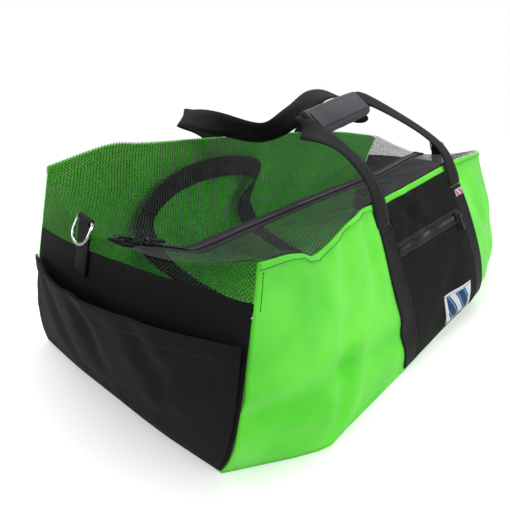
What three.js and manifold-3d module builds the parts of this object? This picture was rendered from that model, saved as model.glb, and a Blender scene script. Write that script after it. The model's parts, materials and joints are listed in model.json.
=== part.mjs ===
// A mesh-topped gear bag for ski boots and clothing: a green coated-fabric shell with black ends,
// a sagging black mesh top with one long zipper, end slip pockets, a zipped front pocket and two
// webbing carry handles. Millimetres, +X along the bag, +Z up, front wall facing -Y.
import * as THREE from 'three';
import { mergeVertices } from 'three/addons/utils/BufferGeometryUtils.js';
import Module from 'manifold-3d';

const wasm = await Module();
wasm.setup();

// ---------------------------------------------------------------- driving dimensions
const LENGTH = 866;               // over the floor panel, end to end
const FLOOR_WIDTH = 512;          // floor panel, front to back, where the walls flop outward
const RIM_WIDTH = 312;            // between the front and back rims at the handles
const RIM_HEIGHT = 264;           // front rim above the ground at the handles
const BACK_RISE = 41;             // how much higher the back rim stands
const CORNER_RISE = 42;           // how much higher the near front corner stands
const FAR_DROP = 42;              // how much lower the far front corner has slumped
const TOP_SAG = 57;               // zipper below the front rim at mid length

const FABRIC = 1.6;               // coated fabric with its lining
const MESH = 1.6;                 // open mesh
const WEB_WIDTH = 38;             // webbing of handles and stowed strap
const WEB_THICK = 1.8;
const LEG_SPACING = 239;          // between the two legs of one handle
const HANDLE_OFFSET = 43;         // handles past the middle, because the far end has slumped in
const TACK_HEIGHT = 0.86;         // share of the wall height at which a handle leaves the wall

const SEAM_GAP = 0.5;             // clearance between two panels that meet edge to edge
const LAYER_GAP = 0.4;            // clearance between two layers that lie on each other
const SEAM_WIDTH = 6;             // flat seam allowance along the mesh top's long edges
const END_DROP = 1.4;             // mesh gussets end this much below the top, which slopes away

const ZIP_TAPE = 14;              // width of one zipper tape
const ZIP_TAPE_THICK = 1.0;
const CHAIN_WIDTH = 8;            // coil teeth, closed
const CHAIN_THICK = 2.2;
const SLIDER = { length: 16, wall: 1.6, play: 1.0, lug: 3.4 };
const PULL = { length: 26, width: 6, thick: 2.4, pin: 1.0, play: 0.5 };
const SLIDER_START = 12;          // first slider from the near end of the chain
const SLIDER_PITCH = 24;          // second slider past the first

const POCKET_ZIP_HEIGHT = 0.70;   // share of the wall height at the front pocket's zipper
const POCKET_TOP = 0.965;         // share of the wall height at the front pocket's top
const POCKET_FOOT = 0.02;
const LABEL = { width: 84, thick: 0.8, side: 22, low: 0.09, high: 0.29 };
const TAB_LABEL = { low: 0.80, high: 0.84, thick: 1.2 };

const END_POCKET_GAPE = 34;       // how far an end pocket's mouth stands open
const END_POCKET_MOUTH = 0.80;    // share of the end's height at the mouth
const HEM_WIDTH = 24;
const GREEN_HEM = 8;              // folded hem along the green rims
const RING = { inner: 28, height: 34, wire: 4.4 };
const RING_TAB = { width: 25, sewn: 34, stand: 46, thick: 3.2, wall: 1.8, play: 0.8 };

const GRIP = { length: 150, wall: 3, play: 1.6, flap: 30, flapThick: 2.4 };
const HOOK = { radius: 11, wire: 5, stem: 16 };

// ---------------------------------------------------------------- materials
const finish = (color, roughness, metalness = 0) =>
  new THREE.MeshStandardMaterial({ color, roughness, metalness });
const GREEN = finish(0x5ddb52, 0.5);
const BLACK = finish(0x141416, 0.7);
const NET = finish(0x26282a, 0.6);
const WEBBING = finish(0x232325, 0.75);
const COIL = finish(0x2a2630, 0.4);
const PLASTIC = finish(0x1b1b1d, 0.45);
const CHROME = finish(0xd0d2d6, 0.15, 1);
const LABEL_CLOTH = finish(0xe9ecef, 0.8);

const bag = new THREE.Group();
const addPart = (name, geometry, material, parent = bag) => {
  const mesh = new THREE.Mesh(geometry, material);
  mesh.name = name;
  parent.add(mesh);
  return mesh;
};

// ---------------------------------------------------------------- helpers for closed sheets
const v3 = (x, y, z) => new THREE.Vector3(x, y, z);
const lerp = THREE.MathUtils.lerp;
const clamp = THREE.MathUtils.clamp;

// Evenly spaced numbers from a to b in steps of about `step`.
const spread = (a, b, step) => {
  const count = Math.max(1, Math.round(Math.abs(b - a) / step));
  return Array.from({ length: count + 1 }, (_, i) => lerp(a, b, i / count));
};

// The lines of a wall's own grid that fall between a and b, with a and b as the ends.
const between = (lines, a, b) => [a, ...lines.filter((x) => x > a + 1e-4 && x < b - 1e-4), b];

const signedVolume = (position, index) => {
  const [a, b, c] = [v3(), v3(), v3()];
  let volume = 0;
  for (let i = 0; i < index.length; i += 3) {
    a.fromArray(position, index[i] * 3);
    b.fromArray(position, index[i + 1] * 3);
    c.fromArray(position, index[i + 2] * 3);
    volume += a.dot(b.cross(c)) / 6;
  }
  return volume;
};

// A closed sheet: `point(i, j, side)` gives the grid point on side 0 (inner) or 1 (outer).
const sheetGeometry = (rows, columns, point) => {
  const position = [];
  const id = (i, j, side) => (side * rows + i) * columns + j;
  for (const side of [0, 1]) {
    for (let i = 0; i < rows; i += 1) {
      for (let j = 0; j < columns; j += 1) position.push(...point(i, j, side).toArray());
    }
  }
  const index = [];
  const quad = (a, b, c, d) => index.push(a, b, c, a, c, d);
  for (let i = 0; i + 1 < rows; i += 1) {
    for (let j = 0; j + 1 < columns; j += 1) {
      quad(id(i, j, 1), id(i, j + 1, 1), id(i + 1, j + 1, 1), id(i + 1, j, 1));
      quad(id(i, j, 0), id(i + 1, j, 0), id(i + 1, j + 1, 0), id(i, j + 1, 0));
    }
  }
  const wall = (a, b) => quad(a[0], a[1], b[1], b[0]);
  for (let j = 0; j + 1 < columns; j += 1) {
    wall([id(0, j, 1), id(0, j, 0)], [id(0, j + 1, 1), id(0, j + 1, 0)]);
    const last = rows - 1;
    wall([id(last, j + 1, 1), id(last, j + 1, 0)], [id(last, j, 1), id(last, j, 0)]);
  }
  for (let i = 0; i + 1 < rows; i += 1) {
    const last = columns - 1;
    wall([id(i + 1, 0, 1), id(i + 1, 0, 0)], [id(i, 0, 1), id(i, 0, 0)]);
    wall([id(i, last, 1), id(i, last, 0)], [id(i + 1, last, 1), id(i + 1, last, 0)]);
  }
  if (signedVolume(position, index) < 0) {
    for (let i = 0; i < index.length; i += 3) {
      [index[i + 1], index[i + 2]] = [index[i + 2], index[i + 1]];
    }
  }
  const geometry = new THREE.BufferGeometry();
  geometry.setAttribute('position', new THREE.Float32BufferAttribute(position, 3));
  geometry.setIndex(index);
  geometry.computeVertexNormals();
  return geometry;
};

// Solids by manifold, for the pieces that are cut or joined.
const solid = (geometry) => {
  const bare = geometry.clone();
  bare.deleteAttribute('normal');
  bare.deleteAttribute('uv');
  const merged = mergeVertices(bare, 1e-4);
  return new wasm.Manifold(new wasm.Mesh({
    numProp: 3,
    vertProperties: new Float32Array(merged.attributes.position.array),
    triVerts: new Uint32Array(merged.index.array),
  }));
};
const geometryOf = (manifold) => {
  const mesh = manifold.getMesh();
  const geometry = new THREE.BufferGeometry();
  geometry.setAttribute('position', new THREE.BufferAttribute(mesh.vertProperties, 3));
  geometry.setIndex(new THREE.BufferAttribute(mesh.triVerts, 1));
  geometry.computeVertexNormals();
  return geometry;
};
const box = (width, depth, height, x = 0, y = 0, z = 0) =>
  new THREE.BoxGeometry(width, depth, height).translate(x, y, z);

// ---------------------------------------------------------------- the bag's outline
const HALF = LENGTH / 2;
const FRONT_FOOT = -FLOOR_WIDTH / 2;
const BACK_FOOT = FLOOR_WIDTH / 2;
const FRONT_RIM = -RIM_WIDTH / 2;
const BACK_RIM = RIM_WIDTH / 2;
const BACK_HEIGHT = RIM_HEIGHT + BACK_RISE;
const NEAR_LEG = HANDLE_OFFSET - LEG_SPACING / 2;
const FAR_LEG = HANDLE_OFFSET + LEG_SPACING / 2;
const END_BOW = 22;               // how far the ends bow out past their corners

// One station of a wall: its foot on the floor, its rim and how far the cloth swells between.
const FOOT_HEIGHT = FABRIC + SEAM_GAP;
const station = (foot, rim, swell) => ({
  foot: v3(foot[0], foot[1], FOOT_HEIGHT),
  rim: v3(...rim),
  swell: v3(swell[0], swell[1], 0),
});
const NEAR_FRONT = station(
  [-HALF + 5, FRONT_FOOT + 86],
  [-HALF + 40, FRONT_RIM - 45, RIM_HEIGHT + CORNER_RISE],
  [-6, -20],
);
const NEAR_BACK = station(
  [-HALF, BACK_FOOT],
  [-HALF + 13, BACK_RIM + 4, BACK_HEIGHT + 28],
  [-10, 16],
);
const FAR_FRONT = station(
  [HALF - 4, FRONT_FOOT + 104],
  [HALF - 10, FRONT_RIM + 34, RIM_HEIGHT - FAR_DROP],
  [14, -22],
);
const FAR_BACK = station(
  [HALF - 12, BACK_FOOT - 84],
  [HALF - 20, BACK_RIM - 30, RIM_HEIGHT - FAR_DROP - 8],
  [14, 20],
);
const FOLD_1 = -HALF + 118;       // where the near part of the front wall is pinched
const FOLD_2 = -HALF + 172;
const SHOULDER = NEAR_LEG - 62;
const FAR_TURN = HALF - 140;      // where the walls start to turn towards the far end

const FRONT_STATIONS = [
  NEAR_FRONT,
  station([FOLD_1, FRONT_FOOT + 14], [FOLD_1, FRONT_RIM - 34, RIM_HEIGHT + 20], [0, -10]),
  station([FOLD_2, FRONT_FOOT + 9], [FOLD_2, FRONT_RIM - 24, RIM_HEIGHT - 9], [0, -10]),
  station([SHOULDER, FRONT_FOOT + 8], [SHOULDER, FRONT_RIM - 7, RIM_HEIGHT + 6], [0, -12]),
  station([NEAR_LEG, FRONT_FOOT + 8], [NEAR_LEG, FRONT_RIM, RIM_HEIGHT], [0, -14]),
  station([HANDLE_OFFSET, FRONT_FOOT + 11], [HANDLE_OFFSET, FRONT_RIM - 1, RIM_HEIGHT + 1], [0, -25]),
  station([FAR_LEG, FRONT_FOOT + 14], [FAR_LEG, FRONT_RIM - 2, RIM_HEIGHT + 2], [0, -36]),
  station([FAR_TURN, FRONT_FOOT + 34], [FAR_TURN, FRONT_RIM - 4, RIM_HEIGHT - 6], [0, -27]),
  FAR_FRONT,
];
const BACK_STATIONS = [
  NEAR_BACK,
  station([FOLD_1, BACK_FOOT], [FOLD_1, BACK_RIM + 8, BACK_HEIGHT + 37], [0, 6]),
  station([FOLD_2, BACK_FOOT], [FOLD_2, BACK_RIM + 8, BACK_HEIGHT + 26], [0, 6]),
  station([SHOULDER, BACK_FOOT - 2], [SHOULDER, BACK_RIM + 8, BACK_HEIGHT + 8], [0, 8]),
  station([NEAR_LEG, BACK_FOOT - 4], [NEAR_LEG, BACK_RIM + 8, BACK_HEIGHT], [0, 10]),
  station([HANDLE_OFFSET, BACK_FOOT - 8], [HANDLE_OFFSET, BACK_RIM + 6, BACK_HEIGHT - 18], [0, 12]),
  station([FAR_LEG, BACK_FOOT - 18], [FAR_LEG, BACK_RIM + 4, BACK_HEIGHT - 38], [0, 16]),
  station([FAR_TURN, BACK_FOOT - 42], [FAR_TURN, BACK_RIM - 4, BACK_HEIGHT - 62], [0, 18]),
  FAR_BACK,
];
// The main zipper: a straight ramp down from the near end, then the long sag of the top.
const RAMP_STEP = 43;
const RAMP_FALL = 19.5;
const ZIP_START = v3(-HALF, 3, RIM_HEIGHT + 9);
const rampPoint = (i) => ZIP_START.clone().add(v3(RAMP_STEP * i, -RAMP_STEP * i * 0.02, -RAMP_FALL * i));
const ZIP_STATIONS = [
  ...[0, 1, 2, 3].map(rampPoint),
  v3(-HALF + 245, -2, RIM_HEIGHT - 51),
  v3(HANDLE_OFFSET, -5, RIM_HEIGHT - TOP_SAG),
  v3(FAR_LEG + 40, 0, RIM_HEIGHT - TOP_SAG - 12),
  v3(HALF - 80, 8, RIM_HEIGHT - FAR_DROP - 28),
  v3(HALF + 4, 16, RIM_HEIGHT - FAR_DROP - 36),
];
const curve = (points) => new THREE.CatmullRomCurve3(points, false, 'catmullrom', 0.5);

// The share of a curve's length parameter at which it reaches x.
const shareAtX = (line, x) => {
  let [low, high] = [0, 1];
  for (let i = 0; i < 40; i += 1) {
    const middle = (low + high) / 2;
    if (line.getPoint(middle).x < x) low = middle;
    else high = middle;
  }
  return (low + high) / 2;
};

// Moves `point` by `offset` along the normal of the surface `place(a, b)`, away from the bag.
const NUDGE = 0.004;
const offsetPoint = (place, a, b, offset, away) => {
  const point = place(a, b);
  if (offset === 0) return point;
  const along = place(clamp(a + NUDGE, 0, 1), b).sub(place(clamp(a - NUDGE, 0, 1), b));
  const across = place(a, clamp(b + NUDGE, 0, 1)).sub(place(a, clamp(b - NUDGE, 0, 1)));
  const normal = along.cross(across).normalize();
  if (normal.dot(away(point)) < 0) normal.negate();
  return point.addScaledVector(normal, offset);
};

// A wall stands on its foot line, leans to its rim line and swells between them.
const SWELL_LOW = 0.62;           // below 1 puts the fullest height under the middle
const makeWall = (foot, rim, swell) => {
  const place = (u, v) => {
    const point = foot.getPoint(u).lerp(rim.getPoint(u), v);
    const bulge = Math.sin(Math.PI * clamp(v, 0, 1) ** SWELL_LOW);
    return point.addScaledVector(swell.getPoint(u), bulge);
  };
  const outward = (point) => v3(point.x / HALF ** 2, point.y / FRONT_FOOT ** 2, 0);
  const at = (u, v, offset = 0) => offsetPoint(place, u, v, offset, outward);
  return { at, foot, rim };
};
const sideWall = (stations) => makeWall(
  curve(stations.map((s) => s.foot)),
  curve(stations.map((s) => s.rim)),
  curve(stations.map((s) => s.swell)),
);
const frontWall = sideWall(FRONT_STATIONS);
const backWall = sideWall(BACK_STATIONS);

// The mesh top hangs from both rims to the zipper; s runs along the bag, t from front to back.
const zipCurve = curve(ZIP_STATIONS);
const zipPoint = (s) => {
  const middle = (frontWall.rim.getPoint(s).x + backWall.rim.getPoint(s).x) / 2;
  const x = middle - (END_BOW + 4) * (1 - s) ** 6 + (END_BOW - 3) * s ** 6;
  return zipCurve.getPoint(shareAtX(zipCurve, x));
};
const SAG_NEAR = 3.2;             // how steeply the mesh drops from its rims, near and far
const SAG_FAR = 1.7;
const SIDE_FLAT = SEAM_WIDTH / RIM_WIDTH;
const topPlace = (s, t) => {
  const front = frontWall.rim.getPoint(s);
  const back = backWall.rim.getPoint(s);
  const middle = zipPoint(s);
  const point = front.clone().multiplyScalar((1 - t) * (1 - 2 * t));
  point.addScaledVector(middle, 4 * t * (1 - t)).addScaledVector(back, t * (2 * t - 1));
  const inner = clamp((t - SIDE_FLAT) / (1 - 2 * SIDE_FLAT), 0, 1);
  const rimZ = t < 0.5 ? front.z : back.z;
  const power = lerp(SAG_NEAR, SAG_FAR, Math.min(1, s * 4));
  point.z = middle.z + (rimZ - middle.z) * Math.abs(2 * inner - 1) ** power;
  return point;
};
const topAt = (s, t, offset = 0) => offsetPoint(topPlace, s, t, offset, () => v3(0, 0, 1));

const FOOT_BOW_SHARE = 0.15;        // how much of an end's swell its foot keeps

// An end wall takes its rim from the mesh top's edge and its corners from the side walls.
const endWall = (s, front, back, bow) => {
  const middles = [0.25, 0.5, 0.75];
  const between3 = (key, share) => front[key].clone().lerp(back[key], share);
  const footMiddles = middles.map((m) => between3('foot', m).add(v3(bow * FOOT_BOW_SHARE, 0, 0)));
  const foot = curve([front.foot, ...footMiddles, back.foot]);
  const swell = curve([front.swell, ...middles.map(() => v3(bow, 0, 0)), back.swell]);
  const rim = { getPoint: (u) => topPlace(s, clamp(u, 0, 1)) };
  return makeWall(foot, rim, swell);
};
const nearWall = endWall(0, NEAR_FRONT, NEAR_BACK, -END_BOW);
const farWall = endWall(1, FAR_FRONT, FAR_BACK, END_BOW);

// The black end panel stops at a level seam; the mesh gusset fills from there to the top's edge.
const END_SEAM_HEIGHT = RIM_HEIGHT - 6;
const END_SEAM_DIP = 24;          // the seam is lower towards the back
const GUSSET_MIN = 12;
const farScale = (RIM_HEIGHT - FAR_DROP - 40) / RIM_HEIGHT;
const seamShare = (wall, scale) => (u) => {
  const rimZ = wall.rim.getPoint(u).z;
  const wanted = (END_SEAM_HEIGHT - END_SEAM_DIP * u ** 2) * scale;
  return Math.min(wanted, rimZ - GUSSET_MIN) / rimZ;
};
const belowSeam = (wall, share) => ({ at: (u, w, offset) => wall.at(u, w * share(u), offset) });
const aboveSeam = (wall, share) => ({
  at: (u, w, offset) => {
    const height = wall.rim.getPoint(u).z;
    return wall.at(u, lerp(share(u) + SEAM_GAP / height, 1 - END_DROP / height, w), offset);
  },
});

// ---------------------------------------------------------------- shared grid lines
const sorted = (numbers) => [...numbers].sort((a, b) => a - b);
const legSides = [NEAR_LEG, FAR_LEG].map((x) => [x - WEB_WIDTH / 2, x + WEB_WIDTH / 2]);
const frontLegs = legSides.map((pair) => pair.map((x) => shareAtX(frontWall.foot, x)));
const backLegs = legSides.map((pair) => pair.map((x) => shareAtX(backWall.foot, x)));
const labelSides = [LABEL.width + LABEL.side, LABEL.side]
  .map((x) => shareAtX(frontWall.foot, FAR_LEG - WEB_WIDTH / 2 - x));
const longLines = sorted([
  ...spread(0, 1, 0.05),
  ...frontLegs.flat(),
  ...backLegs.flat(),
  ...labelSides,
]);
const crossLines = sorted([...spread(0, 1, 0.0833), SIDE_FLAT, 1 - SIDE_FLAT]);
const heightLines = sorted([
  ...[0.1, 0.2, 0.3, 0.4, 0.5, 0.6, 0.8, 0.92],
  ...[POCKET_ZIP_HEIGHT, TACK_HEIGHT, POCKET_TOP],
]);

// A panel of a wall, between two places along it and two shares of its height.
const panel = (wall, lines, [u0, u1], [v0, v1], [inner, outer], shape = () => 0) => {
  const us = between(lines, u0, u1);
  const vs = between(heightLines, v0, v1);
  return sheetGeometry(us.length, vs.length, (i, j, side) => {
    const offset = (side === 1 ? outer : inner) + shape(us[i], vs[j]);
    return wall.at(us[i], vs[j], offset);
  });
};

// ---------------------------------------------------------------- shell
const LOW_RIM = RIM_HEIGHT - FAR_DROP - 60;
const rimShare = 1 - SEAM_GAP / LOW_RIM;
const endTrim = (FABRIC + SEAM_GAP) / RIM_WIDTH;
const whole = [0, 1];

const floorOutline = () => {
  const shape = new THREE.Shape();
  const walls = [
    frontWall.foot.getPoints(24),
    farWall.foot.getPoints(8),
    backWall.foot.getPoints(24).reverse(),
    nearWall.foot.getPoints(8).reverse(),
  ];
  const points = walls.flatMap((side) => side.slice(0, -1));
  shape.setFromPoints(points.map((p) => new THREE.Vector2(p.x, p.y)));
  return shape;
};
const plate = (shape, thickness) =>
  new THREE.ExtrudeGeometry(shape, { depth: thickness, bevelEnabled: false });
addPart('floor_panel', plate(floorOutline(), FABRIC), GREEN);

const standing = [0, rimShare];
addPart('front_wall', panel(frontWall, longLines, whole, standing, [-FABRIC, 0]), GREEN);
addPart('back_wall', panel(backWall, longLines, whole, standing, [-FABRIC, 0]), GREEN);

const ends = {
  near: { wall: nearWall, scale: 1 },
  far: { wall: farWall, scale: farScale },
};
const endSpan = [endTrim, 1 - endTrim];
const seamTrim = SEAM_GAP / LOW_RIM;
for (const [side, end] of Object.entries(ends)) {
  const share = seamShare(end.wall, end.scale);
  end.lower = belowSeam(end.wall, share);
  const upper = aboveSeam(end.wall, share);
  const lowerHeight = [0, 1 - seamTrim];
  const lower = panel(end.lower, crossLines, endSpan, lowerHeight, [-FABRIC, 0]);
  addPart(`${side}_end_panel`, lower, BLACK);
  const gusset = panel(upper, crossLines, endSpan, whole, [-MESH, 0]);
  addPart(`${side}_mesh_gusset`, gusset, NET);
}

// ---------------------------------------------------------------- end slip pockets
const hemShare = HEM_WIDTH / RIM_HEIGHT;
const gape = (u, v) => {
  const reach = clamp(v / END_POCKET_MOUTH, 0, 1) ** 2.2;
  return END_POCKET_GAPE * reach * Math.sin(Math.PI * clamp(u, 0, 1)) ** 0.8;
};
const pocketSpan = [endTrim * 2.5, 1 - endTrim * 2.5];
for (const [side, end] of Object.entries(ends)) {
  const skin = [LAYER_GAP, LAYER_GAP + FABRIC];
  const height = [POCKET_FOOT, END_POCKET_MOUTH];
  addPart(`${side}_pocket_panel`, panel(end.lower, crossLines, pocketSpan, height, skin, gape), BLACK);
  const band = skin.map((x) => x + FABRIC + LAYER_GAP);
  const bandHeight = [END_POCKET_MOUTH - hemShare, END_POCKET_MOUTH];
  addPart(`${side}_pocket_hem`, panel(end.lower, crossLines, pocketSpan, bandHeight, band, gape), BLACK);
}

// ---------------------------------------------------------------- mesh top and main zipper
const acrossShare = (millimetres) => millimetres / RIM_WIDTH;
const topSheet = ([s0, s1], [t0, t1], [inner, outer]) => {
  const ss = between(longLines, s0, s1);
  const ts = between(crossLines, t0, t1);
  return sheetGeometry(ss.length, ts.length, (i, j, side) =>
    topAt(ss[i], ts[j], side === 1 ? outer : inner));
};
const tapeEdge = acrossShare(ZIP_TAPE);
const seamAcross = acrossShare(SEAM_GAP);
const meshSkin = [0, MESH];
addPart('mesh_top_front', topSheet(whole, [0, 0.5 - tapeEdge - seamAcross], meshSkin), NET);
addPart('mesh_top_back', topSheet(whole, [0.5 + tapeEdge + seamAcross, 1], meshSkin), NET);

const tapeSkin = [MESH - ZIP_TAPE_THICK, MESH];
addPart('zipper_tape_front', topSheet(whole, [0.5 - tapeEdge, 0.5 - seamAcross], tapeSkin), COIL);
addPart('zipper_tape_back', topSheet(whole, [0.5 + seamAcross, 0.5 + tapeEdge], tapeSkin), COIL);

const STOP_LENGTH = 16;
const stopShare = STOP_LENGTH / LENGTH;
const stopStart = SEAM_WIDTH / 2 / LENGTH;
const chainShare = stopShare + SEAM_GAP / LENGTH;
const chainHalf = acrossShare(CHAIN_WIDTH / 2);
const CHAIN_BASE = MESH + LAYER_GAP;
const chainSkin = [CHAIN_BASE, CHAIN_BASE + CHAIN_THICK];
const chainSpan = [chainShare, 1 - chainShare];
addPart('zipper_teeth', topSheet(chainSpan, [0.5 - chainHalf, 0.5 + chainHalf], chainSkin), COIL);
for (const [side, span] of [['near', [stopStart, stopShare]], ['far', [1 - stopShare, 1 - stopStart]]]) {
  addPart(`${side}_zipper_stop`, topSheet(span, [0.5 - tapeEdge, 0.5 + tapeEdge], chainSkin), BLACK);
}

// ---------------------------------------------------------------- zipper sliders and pulls
// A slider is a saddle over the teeth with two lugs and a pin, on which its pull swings.
const SADDLE_WIDTH = CHAIN_WIDTH + 2 * (SLIDER.play + SLIDER.wall);
const SADDLE_HEIGHT = CHAIN_THICK + SLIDER.play + SLIDER.wall;
const PIN_HEIGHT = SADDLE_HEIGHT + PULL.pin + PULL.play + 1.4;
const eyeRadius = PULL.pin + PULL.play;
const rod = (radius, length, axis, sides = 16) => {
  const geometry = new THREE.CylinderGeometry(radius, radius, length, sides);
  if (axis === 'x') geometry.rotateZ(Math.PI / 2);
  if (axis === 'z') geometry.rotateX(Math.PI / 2);
  return geometry;
};
// Built with its pin along Y; `turned` lays the pin along X instead, for a pull that hangs sideways.
const sliderGeometry = (turned) => {
  const lugGap = PULL.width / 2 + PULL.play;
  const lugThick = 1.5;
  const lugY = lugGap + lugThick / 2;
  const lugTop = PIN_HEIGHT + PULL.pin + 1;
  const lugHeight = lugTop - SADDLE_HEIGHT + SLIDER.wall;
  const base = turned ? SADDLE_WIDTH : SLIDER.length;
  const saddle = solid(box(SLIDER.length, SADDLE_WIDTH, SADDLE_HEIGHT, 0, 0, SADDLE_HEIGHT / 2))
    .subtract(solid(box(
      SLIDER.length * 2,
      CHAIN_WIDTH + 2 * SLIDER.play,
      2 * (CHAIN_THICK + SLIDER.play),
    )));
  let lugs = solid(rod(PULL.pin, 2 * (lugGap + lugThick), 'y', 12).translate(0, 0, PIN_HEIGHT));
  for (const side of [-1, 1]) {
    const lugLength = Math.min(base, SLIDER.lug * 2);
    const lug = box(lugLength, lugThick, lugHeight, 0, side * lugY, lugTop - lugHeight / 2);
    lugs = lugs.add(solid(lug));
  }
  const turn = turned ? lugs.rotate([0, 0, 90]) : lugs;
  return geometryOf(saddle.add(turn));
};
// The pull lies along +X from its pin, at the height of the pin.
const pullGeometry = () => {
  const reach = eyeRadius + 1.4;
  const tongue = box(PULL.length, PULL.width, PULL.thick, PULL.length / 2, 0, 0);
  const eye = rod(reach, PULL.width, 'y');
  const bore = rod(eyeRadius, PULL.width * 2, 'y');
  const grip = box(PULL.length * 0.45, PULL.width + 3, PULL.thick + 1, PULL.length * 0.8, 0, 0);
  return geometryOf(solid(tongue).add(solid(eye)).add(solid(grip)).subtract(solid(bore)));
};
// A frame on a surface: x along travel, z away from the surface.
const frameAt = (origin, along, away) => {
  const x = along.clone().normalize();
  const z = away.clone().addScaledVector(x, -away.dot(x)).normalize();
  const group = new THREE.Group();
  group.matrix.makeBasis(x, z.clone().cross(x), z).setPosition(origin);
  group.matrix.decompose(group.position, group.quaternion, group.scale);
  return group;
};
const addSlider = (name, frame, turned, pullTurn) => {
  bag.add(frame);
  addPart(`${name}_slider`, sliderGeometry(turned), PLASTIC, frame);
  const pull = addPart(`${name}_pull`, pullGeometry(), PLASTIC, frame);
  pull.rotation.z = pullTurn;
  pull.position.z = PIN_HEIGHT;
};

const rampDirection = rampPoint(1).sub(rampPoint(0)).normalize();
const rampNormal = v3(-rampDirection.z, 0, rampDirection.x).normalize();
const onRamp = (distance) => rampPoint(0).addScaledVector(rampDirection, distance)
  .addScaledVector(rampNormal, CHAIN_BASE);
const FIRST_SLIDER = STOP_LENGTH + SLIDER_START;
addSlider('rear', frameAt(onRamp(FIRST_SLIDER), rampDirection, rampNormal), false, Math.PI);
addSlider('lead', frameAt(onRamp(FIRST_SLIDER + SLIDER_PITCH), rampDirection, rampNormal), false, 0);

// ---------------------------------------------------------------- front zipped pocket
const lineTrim = SEAM_GAP / LENGTH;
const pocketSides = [frontLegs[0][1] + lineTrim, frontLegs[1][0] - lineTrim];
const layer = (count, thick = FABRIC) => {
  const low = LAYER_GAP + count * (FABRIC + LAYER_GAP);
  return [low, low + thick];
};
const heightShare = (millimetres) => millimetres / RIM_HEIGHT;
const zipBand = heightShare(ZIP_TAPE * 0.8);
const pocketPanel = (low, high, skin = layer(0)) => (
  panel(frontWall, longLines, pocketSides, [low, high], skin)
);
const zipLow = POCKET_ZIP_HEIGHT - zipBand;
const zipHigh = POCKET_ZIP_HEIGHT + zipBand;
const trimV = heightShare(SEAM_GAP);
addPart('front_pocket_lower', pocketPanel(POCKET_FOOT, zipLow - trimV), BLACK);
addPart('front_pocket_upper', pocketPanel(zipHigh + trimV, POCKET_TOP), BLACK);
addPart('front_pocket_tape', pocketPanel(zipLow, zipHigh, layer(0, ZIP_TAPE_THICK)), COIL);
const teethHalf = heightShare(CHAIN_WIDTH / 2);
const teethSkin = [LAYER_GAP * 2 + ZIP_TAPE_THICK, LAYER_GAP * 2 + ZIP_TAPE_THICK + CHAIN_THICK];
const teethSpan = [POCKET_ZIP_HEIGHT - teethHalf, POCKET_ZIP_HEIGHT + teethHalf];
addPart('front_pocket_teeth', pocketPanel(...teethSpan, teethSkin), COIL);

const POCKET_SLIDER_IN = 16;      // from the far leg's webbing
const pocketFrame = (distance) => {
  const u = shareAtX(frontWall.foot, FAR_LEG - WEB_WIDTH / 2 - distance);
  const base = teethSkin[0] + SLIDER.play / 2;
  const here = frontWall.at(u, POCKET_ZIP_HEIGHT, base);
  const before = frontWall.at(u - NUDGE, POCKET_ZIP_HEIGHT, base);
  const along = frontWall.at(u + NUDGE, POCKET_ZIP_HEIGHT, base).sub(before);
  const away = frontWall.at(u, POCKET_ZIP_HEIGHT, base + 5).sub(here);
  return frameAt(here, along, away);
};
addSlider('front_pocket', pocketFrame(POCKET_SLIDER_IN), true, -Math.PI / 2);

const labelSkin = layer(1, LABEL.thick);
const labelSpan = [LABEL.low, LABEL.high];
addPart('woven_label', panel(frontWall, longLines, labelSides, labelSpan, labelSkin), LABEL_CLOTH);

// ---------------------------------------------------------------- webbing sewn down the walls
const webSkin = [LAYER_GAP, LAYER_GAP + WEB_THICK];
const sewn = [POCKET_FOOT, TACK_HEIGHT];
const handleLegs = { front: [frontWall, frontLegs], back: [backWall, backLegs] };
for (const [side, [wall, legs]] of Object.entries(handleLegs)) {
  legs.forEach((leg, i) => {
    const spot = i === 0 ? 'near' : 'far';
    addPart(`${side}_handle_sewn_${spot}`, panel(wall, longLines, leg, sewn, webSkin), WEBBING);
  });
}
const tabSpan = [lerp(...frontLegs[1], 0.15), lerp(...frontLegs[1], 0.85)];
const tabSkin = [webSkin[1] + LAYER_GAP, webSkin[1] + LAYER_GAP + TAB_LABEL.thick];
const tabHeights = [TAB_LABEL.low, TAB_LABEL.high];
addPart('side_tab_label', panel(frontWall, longLines, tabSpan, tabHeights, tabSkin), LABEL_CLOTH);

// Hems folded over along the green rims, on the outside, clear of the webbing.
const hemBand = [rimShare - heightShare(GREEN_HEM), rimShare];
const hemTrim = 3 * lineTrim;
const hemSpans = (legs) => [
  ['near', [0, legs[0][0] - hemTrim]],
  ['middle', [legs[0][1] + hemTrim, legs[1][0] - hemTrim]],
  ['far', [legs[1][1] + hemTrim, 1]],
];
for (const [side, [wall, legs]] of Object.entries(handleLegs)) {
  for (const [where, span] of hemSpans(legs)) {
    if (side === 'front' && where === 'middle') continue;
    addPart(`${side}_hem_${where}`, panel(wall, longLines, span, hemBand, layer(0, FABRIC)), GREEN);
  }
}

// ---------------------------------------------------------------- free webbing
// A ribbon through stations of [place, width direction].
const ribbon = (stations, width, thickness, step = 14) => {
  const path = curve(stations.map(([place]) => place));
  const widths = curve(stations.map(([, direction]) => direction.clone().normalize()));
  const count = Math.round(path.getLength() / step);
  const frames = Array.from({ length: count + 1 }, (_, i) => {
    const share = i / count;
    const along = path.getTangent(share);
    const side = widths.getPoint(share);
    side.addScaledVector(along, -side.dot(along)).normalize();
    return { centre: path.getPoint(share), side, away: side.clone().cross(along) };
  });
  return sheetGeometry(count + 1, 2, (i, j, side) => {
    const { centre, side: direction, away } = frames[i];
    return centre.clone().addScaledVector(direction, (j - 0.5) * width)
      .addScaledVector(away, (side - 0.5) * thickness);
  });
};

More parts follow.
